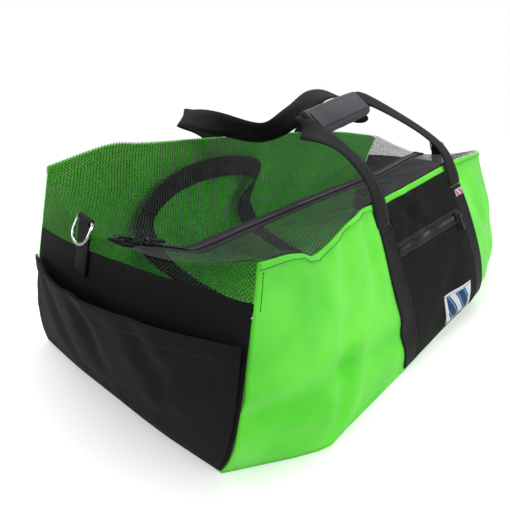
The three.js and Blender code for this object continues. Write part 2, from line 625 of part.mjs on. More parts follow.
// Stations where free webbing leaves a wall: beside its sewn leg, a share of the height further up.
const webMiddle = LAYER_GAP + WEB_THICK / 2;
const leave = (wall, leg, extra, lift, shift = 0) => {
  const u = lerp(...leg, 0.5);
  const shifted = shareAtX(wall.foot, wall.foot.getPoint(u).x + shift);
  const side = wall.at(leg[1], TACK_HEIGHT).sub(wall.at(leg[0], TACK_HEIGHT)).normalize();
  return [wall.at(shifted, TACK_HEIGHT + extra, webMiddle + lift), side];
};
const TACK_GAP = 1.2 / RIM_HEIGHT;
const SLOPED_TACK_GAP = 3.6 / RIM_HEIGHT;   // the back rim falls away along each leg
const TACK_LIFT = 0.8;

// The grip's own frame: its middle, its axis and the direction of the webbing's width in it.
const GRIP_MIDDLE = v3(HANDLE_OFFSET - 68, FRONT_RIM + 116, RIM_HEIGHT + 105);
const GRIP_AXIS = v3(1, 0.06, 0.05).normalize();
const GRIP_LEAN = v3(0, 0.8, 0.6);
const GRIP_WIDTH = GRIP_LEAN.clone()
  .addScaledVector(GRIP_AXIS, -GRIP_LEAN.dot(GRIP_AXIS)).normalize();
const onGrip = (distance) => GRIP_MIDDLE.clone().addScaledVector(GRIP_AXIS, distance);
const gripEnd = GRIP.length / 2;

const rimNear = v3(NEAR_LEG, FRONT_RIM, RIM_HEIGHT);
const rimFar = v3(FAR_LEG, FRONT_RIM, RIM_HEIGHT);
const frontHandle = [
  leave(frontWall, frontLegs[0], TACK_GAP, TACK_LIFT),
  leave(frontWall, frontLegs[0], 0.08, 4),
  [rimNear.clone().add(v3(-6, 10, 34)), v3(1, 0.2, 0)],
  [rimNear.clone().add(v3(-30, 52, 82)), v3(0.9, 0.5, 0.1)],
  [onGrip(-gripEnd - 20), v3(0.25, 0.8, 0.55)],
  [onGrip(-gripEnd), GRIP_WIDTH],
  [onGrip(-gripEnd / 2), GRIP_WIDTH],
  [onGrip(gripEnd / 2), GRIP_WIDTH],
  [onGrip(gripEnd), GRIP_WIDTH],
  [onGrip(gripEnd + 30), v3(0.2, 0.85, 0.5)],
  [rimFar.clone().add(v3(-18, 58, 62)), v3(0.75, 0.6, 0.2)],
  [rimFar.clone().add(v3(2, 10, 26)), v3(1, 0.2, 0)],
  leave(frontWall, frontLegs[1], 0.08, 4),
  leave(frontWall, frontLegs[1], TACK_GAP, TACK_LIFT),
];
addPart('front_handle', ribbon(frontHandle, WEB_WIDTH, WEB_THICK), WEBBING);

const backNear = v3(NEAR_LEG, BACK_RIM, BACK_HEIGHT);
const backFar = v3(FAR_LEG, BACK_RIM, BACK_HEIGHT - 38);
const backHandle = [
  leave(backWall, backLegs[0], SLOPED_TACK_GAP, TACK_LIFT),
  leave(backWall, backLegs[0], 0.05, 4),
  leave(backWall, backLegs[0], 0.14, 14, -18),
  [backNear.clone().add(v3(-84, 26, 46)), v3(0.9, 0.5, 0.3)],
  [backNear.clone().add(v3(-66, -44, 44)), v3(0.4, -0.5, 0.8)],
  [backNear.clone().add(v3(-10, -92, 26)), v3(0.2, -0.5, 0.9)],
  [backNear.clone().add(v3(42, -118, 50)), v3(0, 0.5, 0.9)],
  [backNear.clone().add(v3(96, -124, 76)), v3(0, 0.9, 0.3)],
  [backNear.clone().add(v3(170, -120, 64)), v3(0, 0.9, 0.2)],
  [backFar.clone().add(v3(62, -96, 42)), v3(0.3, 0.9, 0.2)],
  [backFar.clone().add(v3(84, -26, 30)), v3(0.9, 0.5, 0.2)],
  leave(backWall, backLegs[1], 0.14, 14, 12),
  leave(backWall, backLegs[1], 0.05, 4),
  leave(backWall, backLegs[1], SLOPED_TACK_GAP, TACK_LIFT),
];
addPart('back_handle', ribbon(backHandle, WEB_WIDTH, WEB_THICK), WEBBING);

// ---------------------------------------------------------------- wrap-around grip
const roundedBar = (width, height, radius) => {
  const shape = new THREE.Shape();
  const [x, y, r] = [width / 2, height / 2, Math.min(radius, height / 2 - 0.01)];
  shape.moveTo(-x + r, -y);
  shape.lineTo(x - r, -y);
  shape.absarc(x - r, -y + r, r, -Math.PI / 2, 0);
  shape.lineTo(x, y - r);
  shape.absarc(x - r, y - r, r, 0, Math.PI / 2);
  shape.lineTo(-x + r, y);
  shape.absarc(-x + r, y - r, r, Math.PI / 2, Math.PI);
  shape.lineTo(-x, -y + r);
  shape.absarc(-x + r, -y + r, r, Math.PI, Math.PI * 1.5);
  return shape;
};
const gripInner = { width: WEB_WIDTH + 2 * GRIP.play, height: WEB_THICK + 2 * GRIP.play };
const gripOuter = { width: gripInner.width + 2 * GRIP.wall, height: gripInner.height + 4 * GRIP.wall };
const gripShape = roundedBar(gripOuter.width, gripOuter.height, 7);
gripShape.holes.push(roundedBar(gripInner.width, gripInner.height, 1.5));
const alongBar = (shape, length, curveSegments = 4) =>
  new THREE.ExtrudeGeometry(shape, { depth: length, bevelEnabled: false, curveSegments })
    .translate(0, 0, -length / 2);
const gripFrame = new THREE.Group();
const gripUp = GRIP_AXIS.clone().cross(GRIP_WIDTH);
gripFrame.matrix.makeBasis(GRIP_WIDTH, gripUp, GRIP_AXIS).setPosition(GRIP_MIDDLE);
gripFrame.matrix.decompose(gripFrame.position, gripFrame.quaternion, gripFrame.scale);
bag.add(gripFrame);
addPart('grip_wrap', alongBar(gripShape, GRIP.length), WEBBING, gripFrame);

// The closing flap lies on the wrap's upper face and peels back about its rear edge.
const flapGeometry = box(GRIP.flap, GRIP.flapThick, GRIP.length - 8);
const flap = addPart('grip_flap', flapGeometry, PLASTIC, gripFrame);
const flapLift = gripOuter.height / 2 + LAYER_GAP + GRIP.flapThick / 2;
flap.position.set(-2, flapLift, 0);

// ---------------------------------------------------------------- standing ring tabs
const barRadius = RING.wire / 2;
const tabShape = () => {
  const inner = barRadius + RING_TAB.play;
  const outer = inner + RING_TAB.wall;
  const shape = new THREE.Shape();
  const half = RING_TAB.thick / 2;
  const lift = Math.sqrt(outer ** 2 - half ** 2);
  const angle = Math.atan2(-lift, half);
  shape.moveTo(-half, -RING_TAB.sewn - RING_TAB.stand);
  shape.lineTo(half, -RING_TAB.sewn - RING_TAB.stand);
  shape.lineTo(half, -lift);
  shape.absarc(0, 0, outer, angle, Math.PI - angle, false);
  shape.lineTo(-half, -RING_TAB.sewn - RING_TAB.stand);
  const hole = new THREE.Path();
  hole.absarc(0, 0, inner, 0, Math.PI * 2, true);
  shape.holes.push(hole);
  return shape;
};
// The ring is drawn in its plane: a straight bar through the tab's loop and a round bow below.
const ringGeometry = () => {
  const half = RING.inner / 2 + barRadius;
  const path = new THREE.CurvePath();
  const drop = RING.height - half;
  const arc = (x, y, start, end) => new THREE.CatmullRomCurve3(
    spread(start, end, 0.4).map((a) => v3(x + half * Math.cos(a), y + half * Math.sin(a), 0)),
  );
  path.add(new THREE.LineCurve3(v3(half, 0, 0), v3(half, -drop, 0)));
  path.add(arc(0, -drop, 0, -Math.PI));
  path.add(new THREE.LineCurve3(v3(-half, -drop, 0), v3(-half, 0, 0)));
  const circle = new THREE.Shape();
  circle.absarc(0, 0, barRadius, 0, Math.PI * 2);
  const bow = new THREE.ExtrudeGeometry(circle, {
    steps: 26,
    bevelEnabled: false,
    extrudePath: new THREE.CatmullRomCurve3(path.getSpacedPoints(30)),
    curveSegments: 4,
  });
  const bar = rod(barRadius, 2 * half + RING.wire * 0.9, 'x', 12);
  return geometryOf(solid(bow).add(solid(bar)));
};
const TAB_TURN = new THREE.Matrix4().makeBasis(v3(0, 0, 1), v3(-1, 0, 0), v3(0, -1, 0));
const RING_TILT = 0.28;           // how far the ring hangs out in front of its tab
const RING_AT = 0.66;             // share of the end's width, from the front
for (const [side, end] of Object.entries(ends)) {
  const u = side === 'near' ? RING_AT : 1 - RING_AT;
  const sewnAt = (w, lift) => end.lower.at(u, w, lift);
  const high = 0.99;
  const out = LAYER_GAP + RING_TAB.thick / 2 + 0.6;
  const top = sewnAt(high, out);
  const up = top.clone().sub(sewnAt(0.86, out)).normalize();
  const away = sewnAt(high, out + 5).sub(top);
  const frame = frameAt(top.addScaledVector(up, RING_TAB.stand), up.clone().negate(), away);
  bag.add(frame);
  const tab = addPart(`${side}_ring_tab`, alongBar(tabShape(), RING_TAB.width), WEBBING, frame);
  tab.quaternion.setFromRotationMatrix(TAB_TURN);
  const ring = addPart(`${side}_d_ring`, ringGeometry(), CHROME, frame);
  const hang = new THREE.Group();
  hang.rotation.y = -RING_TILT;
  ring.rotation.z = Math.PI / 2;
  hang.add(ring);
  frame.add(hang);
}

// ---------------------------------------------------------------- shoulder strap stowed inside
const INSIDE = FABRIC + LAYER_GAP + 6;
const onBackInside = (x, share, lift) => {
  const u = shareAtX(backWall.foot, x);
  const side = backWall.at(u + NUDGE, share).sub(backWall.at(u - NUDGE, share)).normalize();
  return [backWall.at(u, share, -INSIDE - lift), side];
};
const strapLow = FABRIC + LAYER_GAP + HOOK.wire / 2;
const strapEnds = {
  near: v3(NEAR_LEG - 60, BACK_RIM - 116, strapLow),
  far: v3(FAR_LEG - 60, BACK_RIM - 116, strapLow),
};
const strapStations = [
  [strapEnds.near.clone(), v3(1, 0, 0)],
  [strapEnds.near.clone().add(v3(0, 20, 1)), v3(1, 0, 0)],
  [strapEnds.near.clone().add(v3(-24, 58, 9)), v3(1, 0.2, 0)],
  [onBackInside(NEAR_LEG - 135, 0.28, 30)[0], v3(0.9, 0, -0.3)],
  [onBackInside(NEAR_LEG - 176, 0.56, 12)[0], v3(1, 0, -0.15)],
  [onBackInside(NEAR_LEG - 120, 0.78, 12)[0], v3(0.6, 0, -0.8)],
  [onBackInside(NEAR_LEG - 10, 0.84, 12)[0], v3(0, 0, -1)],
  [onBackInside(HANDLE_OFFSET - 20, 0.76, 12)[0], v3(-0.5, 0, -0.85)],
  [onBackInside(HANDLE_OFFSET - 36, 0.5, 14)[0], v3(-1, 0, 0)],
  [onBackInside(HANDLE_OFFSET + 16, 0.24, 30)[0], v3(-0.95, 0, 0.2)],
  [strapEnds.far.clone().add(v3(-16, 58, 9)), v3(-1, 0, 0)],
  [strapEnds.far.clone().add(v3(0, 20, 1)), v3(-1, 0, 0)],
  [strapEnds.far.clone(), v3(-1, 0, 0)],
];
addPart('stowed_strap', ribbon(strapStations, WEB_WIDTH, WEB_THICK, 18), WEBBING);

// A snap hook lies flat beyond each end of the strap: a slot for the webbing, a bow and a gate.
const hookGeometry = () => {
  const ring = (radius, height, x) => rod(radius, height, 'z', 20).translate(x, 0, 0);
  const outer = HOOK.radius + HOOK.wire;
  const centre = HOOK.stem + outer;
  const slotWidth = WEB_WIDTH + 3;
  const eye = solid(box(HOOK.wire * 3, slotWidth + 2 * HOOK.wire, HOOK.wire, HOOK.wire * 1.5, 0, 0))
    .subtract(solid(box(HOOK.wire, slotWidth, HOOK.wire * 2, HOOK.wire * 1.5, 0, 0)));
  const stemStart = HOOK.wire * 2.5;
  const stemEnd = centre - HOOK.radius - HOOK.wire / 2;
  const stem = solid(box(stemEnd - stemStart, HOOK.wire, HOOK.wire, (stemStart + stemEnd) / 2, 0, 0));
  const bow = solid(ring(outer, HOOK.wire, centre)).subtract(solid(ring(HOOK.radius, HOOK.wire * 2, centre)));
  const mouth = box(HOOK.radius * 1.3, HOOK.wire * 3, HOOK.wire * 2, centre, outer - HOOK.wire / 2, 0);
  return geometryOf(bow.subtract(solid(mouth)).add(stem).add(eye));
};
// The gate closes the bow's mouth and turns on its round end.
const gateThick = HOOK.wire * 0.7;
const gateGeometry = () => {
  const length = HOOK.radius * 1.3 - 2 * SEAM_GAP - gateThick / 2;
  const bar = box(length, gateThick, gateThick, -length / 2, 0, 0);
  return geometryOf(solid(bar).add(solid(rod(gateThick / 2, gateThick, 'z'))));
};
for (const [side, end] of Object.entries(strapEnds)) {
  const frame = new THREE.Group();
  frame.position.copy(end).add(v3(0, -LAYER_GAP * 2, 0));
  frame.rotation.z = -Math.PI / 2;
  bag.add(frame);
  addPart(`${side}_strap_hook`, hookGeometry(), CHROME, frame);
  const gate = addPart(`${side}_hook_gate`, gateGeometry(), CHROME, frame);
  const pivot = HOOK.stem + HOOK.radius * 1.65 + HOOK.wire - SEAM_GAP - gateThick / 2;
  gate.position.set(pivot, HOOK.radius + HOOK.wire / 2, 0);
}

// The frame's origin is under the middle of the whole bag.
const bounds = new THREE.Box3().setFromObject(bag);
const centre = bounds.getCenter(v3());
const part = new THREE.Group();
bag.position.set(-centre.x, -centre.y, -bounds.min.z);
part.add(bag);

export default part;
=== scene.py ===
# %% [markdown]
# # A mesh-topped gear bag, dressed in cloth
#
# The frame holds the bag as rigid panels: each cloth panel is a thin closed sheet with flat facets.
# Here every panel gets its cloth back. A panel's outer side is lifted off the frame, smoothed, given
# creases and ripples, and thickened again, so that seams still meet and layers still lie on each other.

# %% Load the frame
import json
import math
import bpy
import bmesh
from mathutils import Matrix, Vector, noise
from mathutils.bvhtree import BVHTree
from mathutils.interpolate import poly_3d_calc

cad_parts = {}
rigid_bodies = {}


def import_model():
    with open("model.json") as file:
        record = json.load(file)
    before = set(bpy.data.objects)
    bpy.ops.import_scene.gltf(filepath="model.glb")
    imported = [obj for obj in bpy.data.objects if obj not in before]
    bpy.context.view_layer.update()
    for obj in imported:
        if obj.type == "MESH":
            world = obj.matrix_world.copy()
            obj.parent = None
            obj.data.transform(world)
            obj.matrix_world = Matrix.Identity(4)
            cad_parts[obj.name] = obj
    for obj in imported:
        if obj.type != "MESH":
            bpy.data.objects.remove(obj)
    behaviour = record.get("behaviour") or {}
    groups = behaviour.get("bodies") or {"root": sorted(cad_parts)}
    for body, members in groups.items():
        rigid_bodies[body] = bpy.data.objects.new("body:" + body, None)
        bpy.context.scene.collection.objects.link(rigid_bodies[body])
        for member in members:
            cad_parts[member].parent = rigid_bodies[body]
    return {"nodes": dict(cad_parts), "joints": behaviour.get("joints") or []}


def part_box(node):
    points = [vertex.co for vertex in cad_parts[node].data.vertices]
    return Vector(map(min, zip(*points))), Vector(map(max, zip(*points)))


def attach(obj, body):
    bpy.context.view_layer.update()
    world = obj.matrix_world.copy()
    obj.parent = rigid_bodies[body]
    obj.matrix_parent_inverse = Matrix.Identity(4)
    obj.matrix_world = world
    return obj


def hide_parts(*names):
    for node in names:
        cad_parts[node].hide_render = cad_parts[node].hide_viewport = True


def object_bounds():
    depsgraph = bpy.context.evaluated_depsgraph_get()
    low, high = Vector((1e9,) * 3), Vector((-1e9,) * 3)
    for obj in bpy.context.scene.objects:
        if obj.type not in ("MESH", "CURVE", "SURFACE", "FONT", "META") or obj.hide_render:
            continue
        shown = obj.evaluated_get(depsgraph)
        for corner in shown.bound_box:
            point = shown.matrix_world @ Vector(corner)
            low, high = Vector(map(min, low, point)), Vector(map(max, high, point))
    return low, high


for leftover in list(bpy.data.objects):
    bpy.data.objects.remove(leftover)
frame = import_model()
CAD_BOX = [list(corner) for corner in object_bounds()]
NODES = frame["nodes"]
JOINTS = {joint["name"]: joint for joint in frame["joints"]}
print("nodes:", len(NODES), "box:", CAD_BOX)

# %% [markdown]
# ## The camera
#
# A long bag looks right only from the right distance. The camera stands above the near front corner
# and looks along the bag, close enough for the far end to shrink clearly.

# %% Camera
AZIMUTH = math.radians(-48)
ELEVATION = math.radians(28)
FOCAL_PIXELS = 520
FRAME_PIXELS = 510
SENSOR = 36.0
towards_camera = Vector((
    math.sin(AZIMUTH) * math.cos(ELEVATION),
    -math.cos(AZIMUTH) * math.cos(ELEVATION),
    math.sin(ELEVATION),
))
camera_data = bpy.data.cameras.new("camera")
camera_data.sensor_width = SENSOR
camera_data.lens = SENSOR * FOCAL_PIXELS / FRAME_PIXELS
camera_data.clip_start = 0.01
camera = bpy.data.objects.new("camera", camera_data)
camera.location = (-0.7393, -0.5051, 0.560)
camera.rotation_mode = "QUATERNION"
camera.rotation_quaternion = towards_camera.to_track_quat("Z", "Y")
bpy.context.scene.collection.objects.link(camera)
bpy.context.scene.camera = camera
print("lens", round(camera_data.lens, 2), "mm")

# %% [markdown]
# ## Small tools for finishes
#
# Each finish is a small node tree: a principled shader with a pattern for its colour and one for its
# bump. The helpers below only save typing. Threads run along a piece's own UV map, which is measured
# in metres, so a weave has the same scale on every panel.

# %% Node helpers
CLOTH_SHINE = 0.22


def srgb(red, green, blue):
    """A colour as it is seen, from 0 to 255, turned into the linear values that shaders use."""
    return tuple(((c / 255 + 0.055) / 1.055) ** 2.4 if c > 10 else c / 3294 for c in (red, green, blue))


def new_finish(name, roughness, sheen=0.0, metallic=0.0, coat=0.0):
    finish = bpy.data.materials.new(name)
    finish.use_nodes = True
    tree = finish.node_tree
    shader = tree.nodes["Principled BSDF"]
    shader.inputs["Roughness"].default_value = roughness
    shader.inputs["Metallic"].default_value = metallic
    shader.inputs["Sheen Weight"].default_value = sheen
    shader.inputs["Sheen Roughness"].default_value = 0.4
    shader.inputs["Coat Weight"].default_value = coat
    shader.inputs["Specular IOR Level"].default_value = 0.5 if metallic or coat else CLOTH_SHINE
    return finish, tree, shader


def add(tree, kind, **settings):
    node = tree.nodes.new(kind)
    for name, value in settings.items():
        setattr(node, name, value)
    return node


def math_node(tree, operation, first, second=None):
    node = add(tree, "ShaderNodeMath", operation=operation)
    for socket, value in zip(node.inputs, (first, second)):
        if value is None:
            continue
        if isinstance(value, (int, float)):
            socket.default_value = value
        else:
            tree.links.new(value, socket)
    return node.outputs[0]


def uv_axes(tree):
    """The UV map's two distances, in metres."""
    uv = add(tree, "ShaderNodeUVMap", uv_map="cloth")
    split = add(tree, "ShaderNodeSeparateXYZ")
    tree.links.new(uv.outputs[0], split.inputs[0])
    return split.outputs[0], split.outputs[1]


def ridge(tree, distance, period):
    """A sine ridge along one distance."""
    return math_node(tree, "SINE", math_node(tree, "MULTIPLY", distance, 2 * math.pi / period))


def noise_value(tree, scale, detail=3.0, roughness=0.55):
    place = add(tree, "ShaderNodeTexCoord")
    grain = add(tree, "ShaderNodeTexNoise")
    grain.inputs["Scale"].default_value = scale
    grain.inputs["Detail"].default_value = detail
    grain.inputs["Roughness"].default_value = roughness
    tree.links.new(place.outputs["Object"], grain.inputs["Vector"])
    return grain.outputs["Fac"]


def blend_colours(tree, factor, stops):
    ramp = add(tree, "ShaderNodeValToRGB")
    tree.links.new(factor, ramp.inputs[0])
    while len(ramp.color_ramp.elements) < len(stops):
        ramp.color_ramp.elements.new(0.5)
    for element, (place, colour) in zip(ramp.color_ramp.elements, stops):
        element.position = place
        element.color = (*colour, 1)
    return ramp.outputs[0]


def add_bump(tree, shader, height, distance, strength=1.0):
    bump = add(tree, "ShaderNodeBump")
    bump.inputs["Strength"].default_value = strength
    bump.inputs["Distance"].default_value = distance
    tree.links.new(height, bump.inputs["Height"])
    tree.links.new(bump.outputs[0], shader.inputs["Normal"])


def plain_weave(tree, thread):
    """Over-and-under threads: the product of two sines turns sign at every crossing."""
    along, across = uv_axes(tree)
    return math_node(tree, "MULTIPLY", ridge(tree, along, thread), ridge(tree, across, thread))


# %% [markdown]
# ## Finishes
#
# The shell is a coated woven polyester in a strong lime: a soft satin, slightly uneven where the
# coating has been handled. The black cloth of the ends and the pocket has the same weave, but matt.

# %% Shell cloth and black cloth
LIME_DEEP = srgb(88, 226, 50)
LIME = srgb(108, 242, 62)
LIME_PALE = srgb(126, 250, 76)
BLACK_DEEP = srgb(10, 10, 12)
BLACK_PALE = srgb(19, 19, 22)


def woven_finish(name, colours, roughness, sheen, thread, blotch=9.0):
    finish, tree, shader = new_finish(name, roughness, sheen)
    blotches = noise_value(tree, blotch)
    weave = plain_weave(tree, thread)
    lifted = math_node(tree, "MULTIPLY", weave, 0.10)
    factor = math_node(tree, "ADD", blotches, lifted)
    steps = [(0.30 + 0.2 * i, colour) for i, colour in enumerate(colours)]
    tree.links.new(blend_colours(tree, factor, steps), shader.inputs["Base Color"])
    grain = math_node(tree, "ADD", weave, math_node(tree, "MULTIPLY", noise_value(tree, 420, 2), 0.8))
    add_bump(tree, shader, grain, 0.00012, 0.55)
    rough = math_node(tree, "ADD", math_node(tree, "MULTIPLY", blotches, 0.16), roughness - 0.08)
    tree.links.new(rough, shader.inputs["Roughness"])
    return finish


SHELL = woven_finish("lime_shell_cloth", (LIME_DEEP, LIME, LIME_PALE), 0.50, 0.25, 0.0011)
BLACK = woven_finish("black_end_cloth", (BLACK_DEEP, srgb(13, 13, 15), BLACK_PALE), 0.80, 0.02, 0.0012)
print("shell and black cloth made")

# %% [markdown]
# Webbing is woven in one strong direction: cords run along it, and the weft shows as fine ribs across
# it. Its two edges are a little thicker. The UV map's first distance runs along the strap.

# %% Webbing
RIB = 0.0023
WEB_WIDTH = 0.038


def webbing_finish(name, dark, pale, roughness):
    finish, tree, shader = new_finish(name, roughness, sheen=0.05)
    along, across = uv_axes(tree)
    slant = math_node(tree, "ADD", along, math_node(tree, "MULTIPLY", ridge(tree, across, 0.0046), 0.0004))
    ribs = ridge(tree, slant, RIB)
    cords = ridge(tree, across, 0.0046)
    height = math_node(tree, "ADD", ribs, math_node(tree, "MULTIPLY", cords, 0.5))
    share = math_node(tree, "ADD", math_node(tree, "MULTIPLY", height, 0.2), noise_value(tree, 30))
    colours = blend_colours(tree, share, [(0.25, dark), (0.8, pale)])
    tree.links.new(colours, shader.inputs["Base Color"])
    add_bump(tree, shader, height, 0.00022, 0.7)
    return finish


WEBBING = webbing_finish("black_webbing", srgb(11, 11, 13), srgb(27, 27, 30), 0.62)
print("rib", RIB * 1000, "mm")

# %% [markdown]
# The top is an open knitted net. Its holes are real openings in the picture: the pattern sets the
# shader's alpha. Two cosines make a diamond net, and a hole opens where their sum is far from zero.
# The net is given a thickness, so it closes up by itself where it is seen at a slant.

# %% Net
NET_PITCH = 0.0052


def net_finish(name, pitch, open_share, yarn_dark, yarn_pale):
    finish, tree, shader = new_finish(name, 0.5, sheen=0.15)
    along, across = uv_axes(tree)
    first = math_node(tree, "COSINE", math_node(tree, "MULTIPLY", along, 2 * math.pi / pitch))
    second = math_node(tree, "COSINE", math_node(tree, "MULTIPLY", across, 2 * math.pi / pitch))
    total = math_node(tree, "ABSOLUTE", math_node(tree, "ADD", first, second))
    solid = math_node(tree, "LESS_THAN", total, open_share)
    tree.links.new(solid, shader.inputs["Alpha"])
    colours = blend_colours(tree, noise_value(tree, 60), [(0.3, yarn_dark), (0.75, yarn_pale)])
    tree.links.new(colours, shader.inputs["Base Color"])
    crown = math_node(tree, "SUBTRACT", 1.0, total)
    add_bump(tree, shader, crown, 0.0004, 0.8)
    return finish


NET = net_finish("black_net", NET_PITCH, 0.60, srgb(26, 26, 28), srgb(56, 57, 60))
OPEN_NET = net_finish("open_black_net", NET_PITCH, 0.28, srgb(30, 30, 32), srgb(58, 60, 62))
print("net pitch", NET_PITCH * 1000, "mm")

# %% [markdown]
# Hard fittings: satin moulded plastic for sliders and pulls, bright plating for the rings and hooks,
# and a slightly shiny coil for the zipper teeth.

# %% Plastic, plating, coil, tape
def moulded_finish(name, colour, roughness, grain=900):
    finish, tree, shader = new_finish(name, roughness, coat=0.15)
    tone = noise_value(tree, 45)
    darker = tuple(0.7 * c for c in colour)
    tree.links.new(blend_colours(tree, tone, [(0.3, darker), (0.7, colour)]), shader.inputs["Base Color"])
    add_bump(tree, shader, noise_value(tree, grain, 2), 0.00006, 0.5)
    return finish


def plated_finish(name):
    finish, tree, shader = new_finish(name, 0.14, metallic=1.0)
    wear = noise_value(tree, 260, 4)
    tone = blend_colours(tree, wear, [(0.35, srgb(196, 198, 203)), (0.65, srgb(226, 228, 232))])
    tree.links.new(tone, shader.inputs["Base Color"])
    rough = math_node(tree, "ADD", math_node(tree, "MULTIPLY", wear, 0.16), 0.05)
    tree.links.new(rough, shader.inputs["Roughness"])
    return finish


PLASTIC = moulded_finish("moulded_black", srgb(26, 26, 29), 0.38)
COIL = moulded_finish("zipper_coil", srgb(34, 32, 38), 0.35)
TAPE_COLOURS = (srgb(24, 22, 27), srgb(32, 30, 37), srgb(40, 38, 45))
TAPE = woven_finish("zipper_tape_cloth", TAPE_COLOURS, 0.6, 0.1, 0.0009)
PLATING = plated_finish("bright_plating")
THREAD = moulded_finish("black_thread", srgb(20, 20, 22), 0.7, 1500)
PALE_THREAD = moulded_finish("pale_thread", srgb(120, 118, 122), 0.7, 1500)
print("fittings done")

# %% [markdown]
# ## Lifting cloth off the frame
#
# A panel of the frame is a closed thin sheet. Its faces fall into an outer side, an inner side and the
# narrow strips between them, told apart by the sharp edges. Keeping only the outer side gives a
# single layer, as a pattern piece is before it is sewn, and that can be smoothed and creased freely.

# %% Outer side of a panel
SHARP = math.radians(55)
SLIVER = 0.0012
THIN_EDGE = 0.0026
RUNG_PLAY = 0.0007
BAG_MIDDLE = Vector((0, 0, 0.12))


def merged_copy(node):
    bm = bmesh.new()
    bm.from_mesh(NODES[node].data)
    bmesh.ops.remove_doubles(bm, verts=bm.verts, dist=2e-5)
    bmesh.ops.join_triangles(
        bm, faces=bm.faces, cmp_seam=False, cmp_sharp=False, cmp_uvs=False, cmp_vcols=False,
        cmp_materials=False, angle_face_threshold=math.radians(40),
        angle_shape_threshold=math.radians(70),
    )
    return bm


def sides_of(bm):
    """Groups of faces that join across edges that aren't sharp, largest first."""
    left = set(bm.faces)
    groups = []
    while left:
        start = left.pop()
        group, edge_of_group = {start}, [start]
        while edge_of_group:
            face = edge_of_group.pop()
            for edge in face.edges:
                if edge.calc_face_angle(0.0) > SHARP:
                    continue
                for other in edge.link_faces:
                    if other in left:
                        left.discard(other)
                        group.add(other)
                        edge_of_group.append(other)
        groups.append(group)
    return sorted(groups, key=lambda g: -sum(f.calc_area() for f in g))


def outer_side(node, away=None):
    """A single layer: the side of the panel that faces away from the bag, or along `away`."""
    bm = merged_copy(node)
    groups = sides_of(bm)[:2]

    def outward(group):
        total = 0.0
        for face in group:
            direction = away if away else face.calc_center_median() - BAG_MIDDLE
            total += face.normal.dot(direction) * face.calc_area()
        return total

    keep = max(groups, key=outward)
    bmesh.ops.delete(bm, geom=[f for f in bm.faces if f not in keep], context="FACES")
    bmesh.ops.remove_doubles(bm, verts=bm.verts, dist=SLIVER)
    return bm


print("front wall, faces kept:", len(outer_side("front_wall").faces))

# %% [markdown]
# ## From facets to cloth
#
# The layer goes through a subdivision surface, which rounds the facets into one smooth sheet and keeps
# its corners. Then it carries a UV map in metres. Walls and panels are flat enough for their map to be
# two of their own coordinates. A free band needs one that runs along it, so it is drawn anew: the two
# narrow sides of the frame's band give its rungs, and one edge is extruded from rung to rung.

# %% Cloth helpers
def lay_out(bm, axes):
    """A UV map in metres from two coordinates."""
    layer = bm.loops.layers.uv.new("cloth")
    for face in bm.faces:
        for loop in face.loops:
            loop[layer].uv = (loop.vert.co[axes[0]], loop.vert.co[axes[1]])


def is_narrow(face):
    """Whether a triangle is as thin as the band, and no part of one of its two end caps."""
    longest = max(e.calc_length() for e in face.edges)
    return 2 * face.calc_area() / longest < THIN_EDGE and abs(longest - WEB_WIDTH) > RUNG_PLAY


def side_strips(bm):
    """The two narrow sides of a flat band."""
    left = {f for f in bm.faces if is_narrow(f)}
    strips = []
    while left:
        strip, edge_of_strip = set(), [left.pop()]
        while edge_of_strip:
            face = edge_of_strip.pop()
            strip.add(face)
            for other in (f for e in face.edges for f in e.link_faces if f in left):
                left.discard(other)
                edge_of_strip.append(other)
        strips.append(strip)
    return sorted(strips, key=len)[-2:]


def strip_line(strip):
    """Points along the middle of one narrow side, from one end to the other."""
    sides = {e for f in strip for e in f.edges}
    inner = [e for e in sides if all(f in strip for f in e.link_faces) and e.calc_length() < THIN_EDGE]
    closing = [e for e in sides if e not in inner]
    pairs, paired = [], set()
    for group in (inner, closing):
        for edge in sorted(group, key=lambda e: e.calc_length()):
            if edge.calc_length() < THIN_EDGE and not paired & set(edge.verts):
                pairs.append(tuple(edge.verts))
                paired |= set(edge.verts)
    owner = {v: i for i, pair in enumerate(pairs) for v in pair}
    beside = {i: set() for i in range(len(pairs))}
    for edge in sides:
        i, j = (owner.get(v) for v in edge.verts)
        if i is not None and j is not None and i != j:
            beside[i].add(j)
            beside[j].add(i)
    here = next(i for i in beside if len(beside[i]) == 1)
    line, passed = [], set()
    while here is not None:
        passed.add(here)
        line.append(sum((v.co for v in pairs[here]), Vector()) / len(pairs[here]))
        here = next((i for i in beside[here] if i not in passed), None)
    return line


def band_rows(node):
    """The rungs of a flat band from one end to the other, each as its (left, right) points."""
    bm = bmesh.new()
    bm.from_mesh(NODES[node].data)
    bmesh.ops.remove_doubles(bm, verts=bm.verts, dist=2e-5)
    left, right = (strip_line(strip) for strip in side_strips(bm))
    if (right[0] - left[0]).length > (right[-1] - left[0]).length:
        right.reverse()
    print(node, "rows", len(left), len(right))
    bm.free()
    return list(zip(left, right))


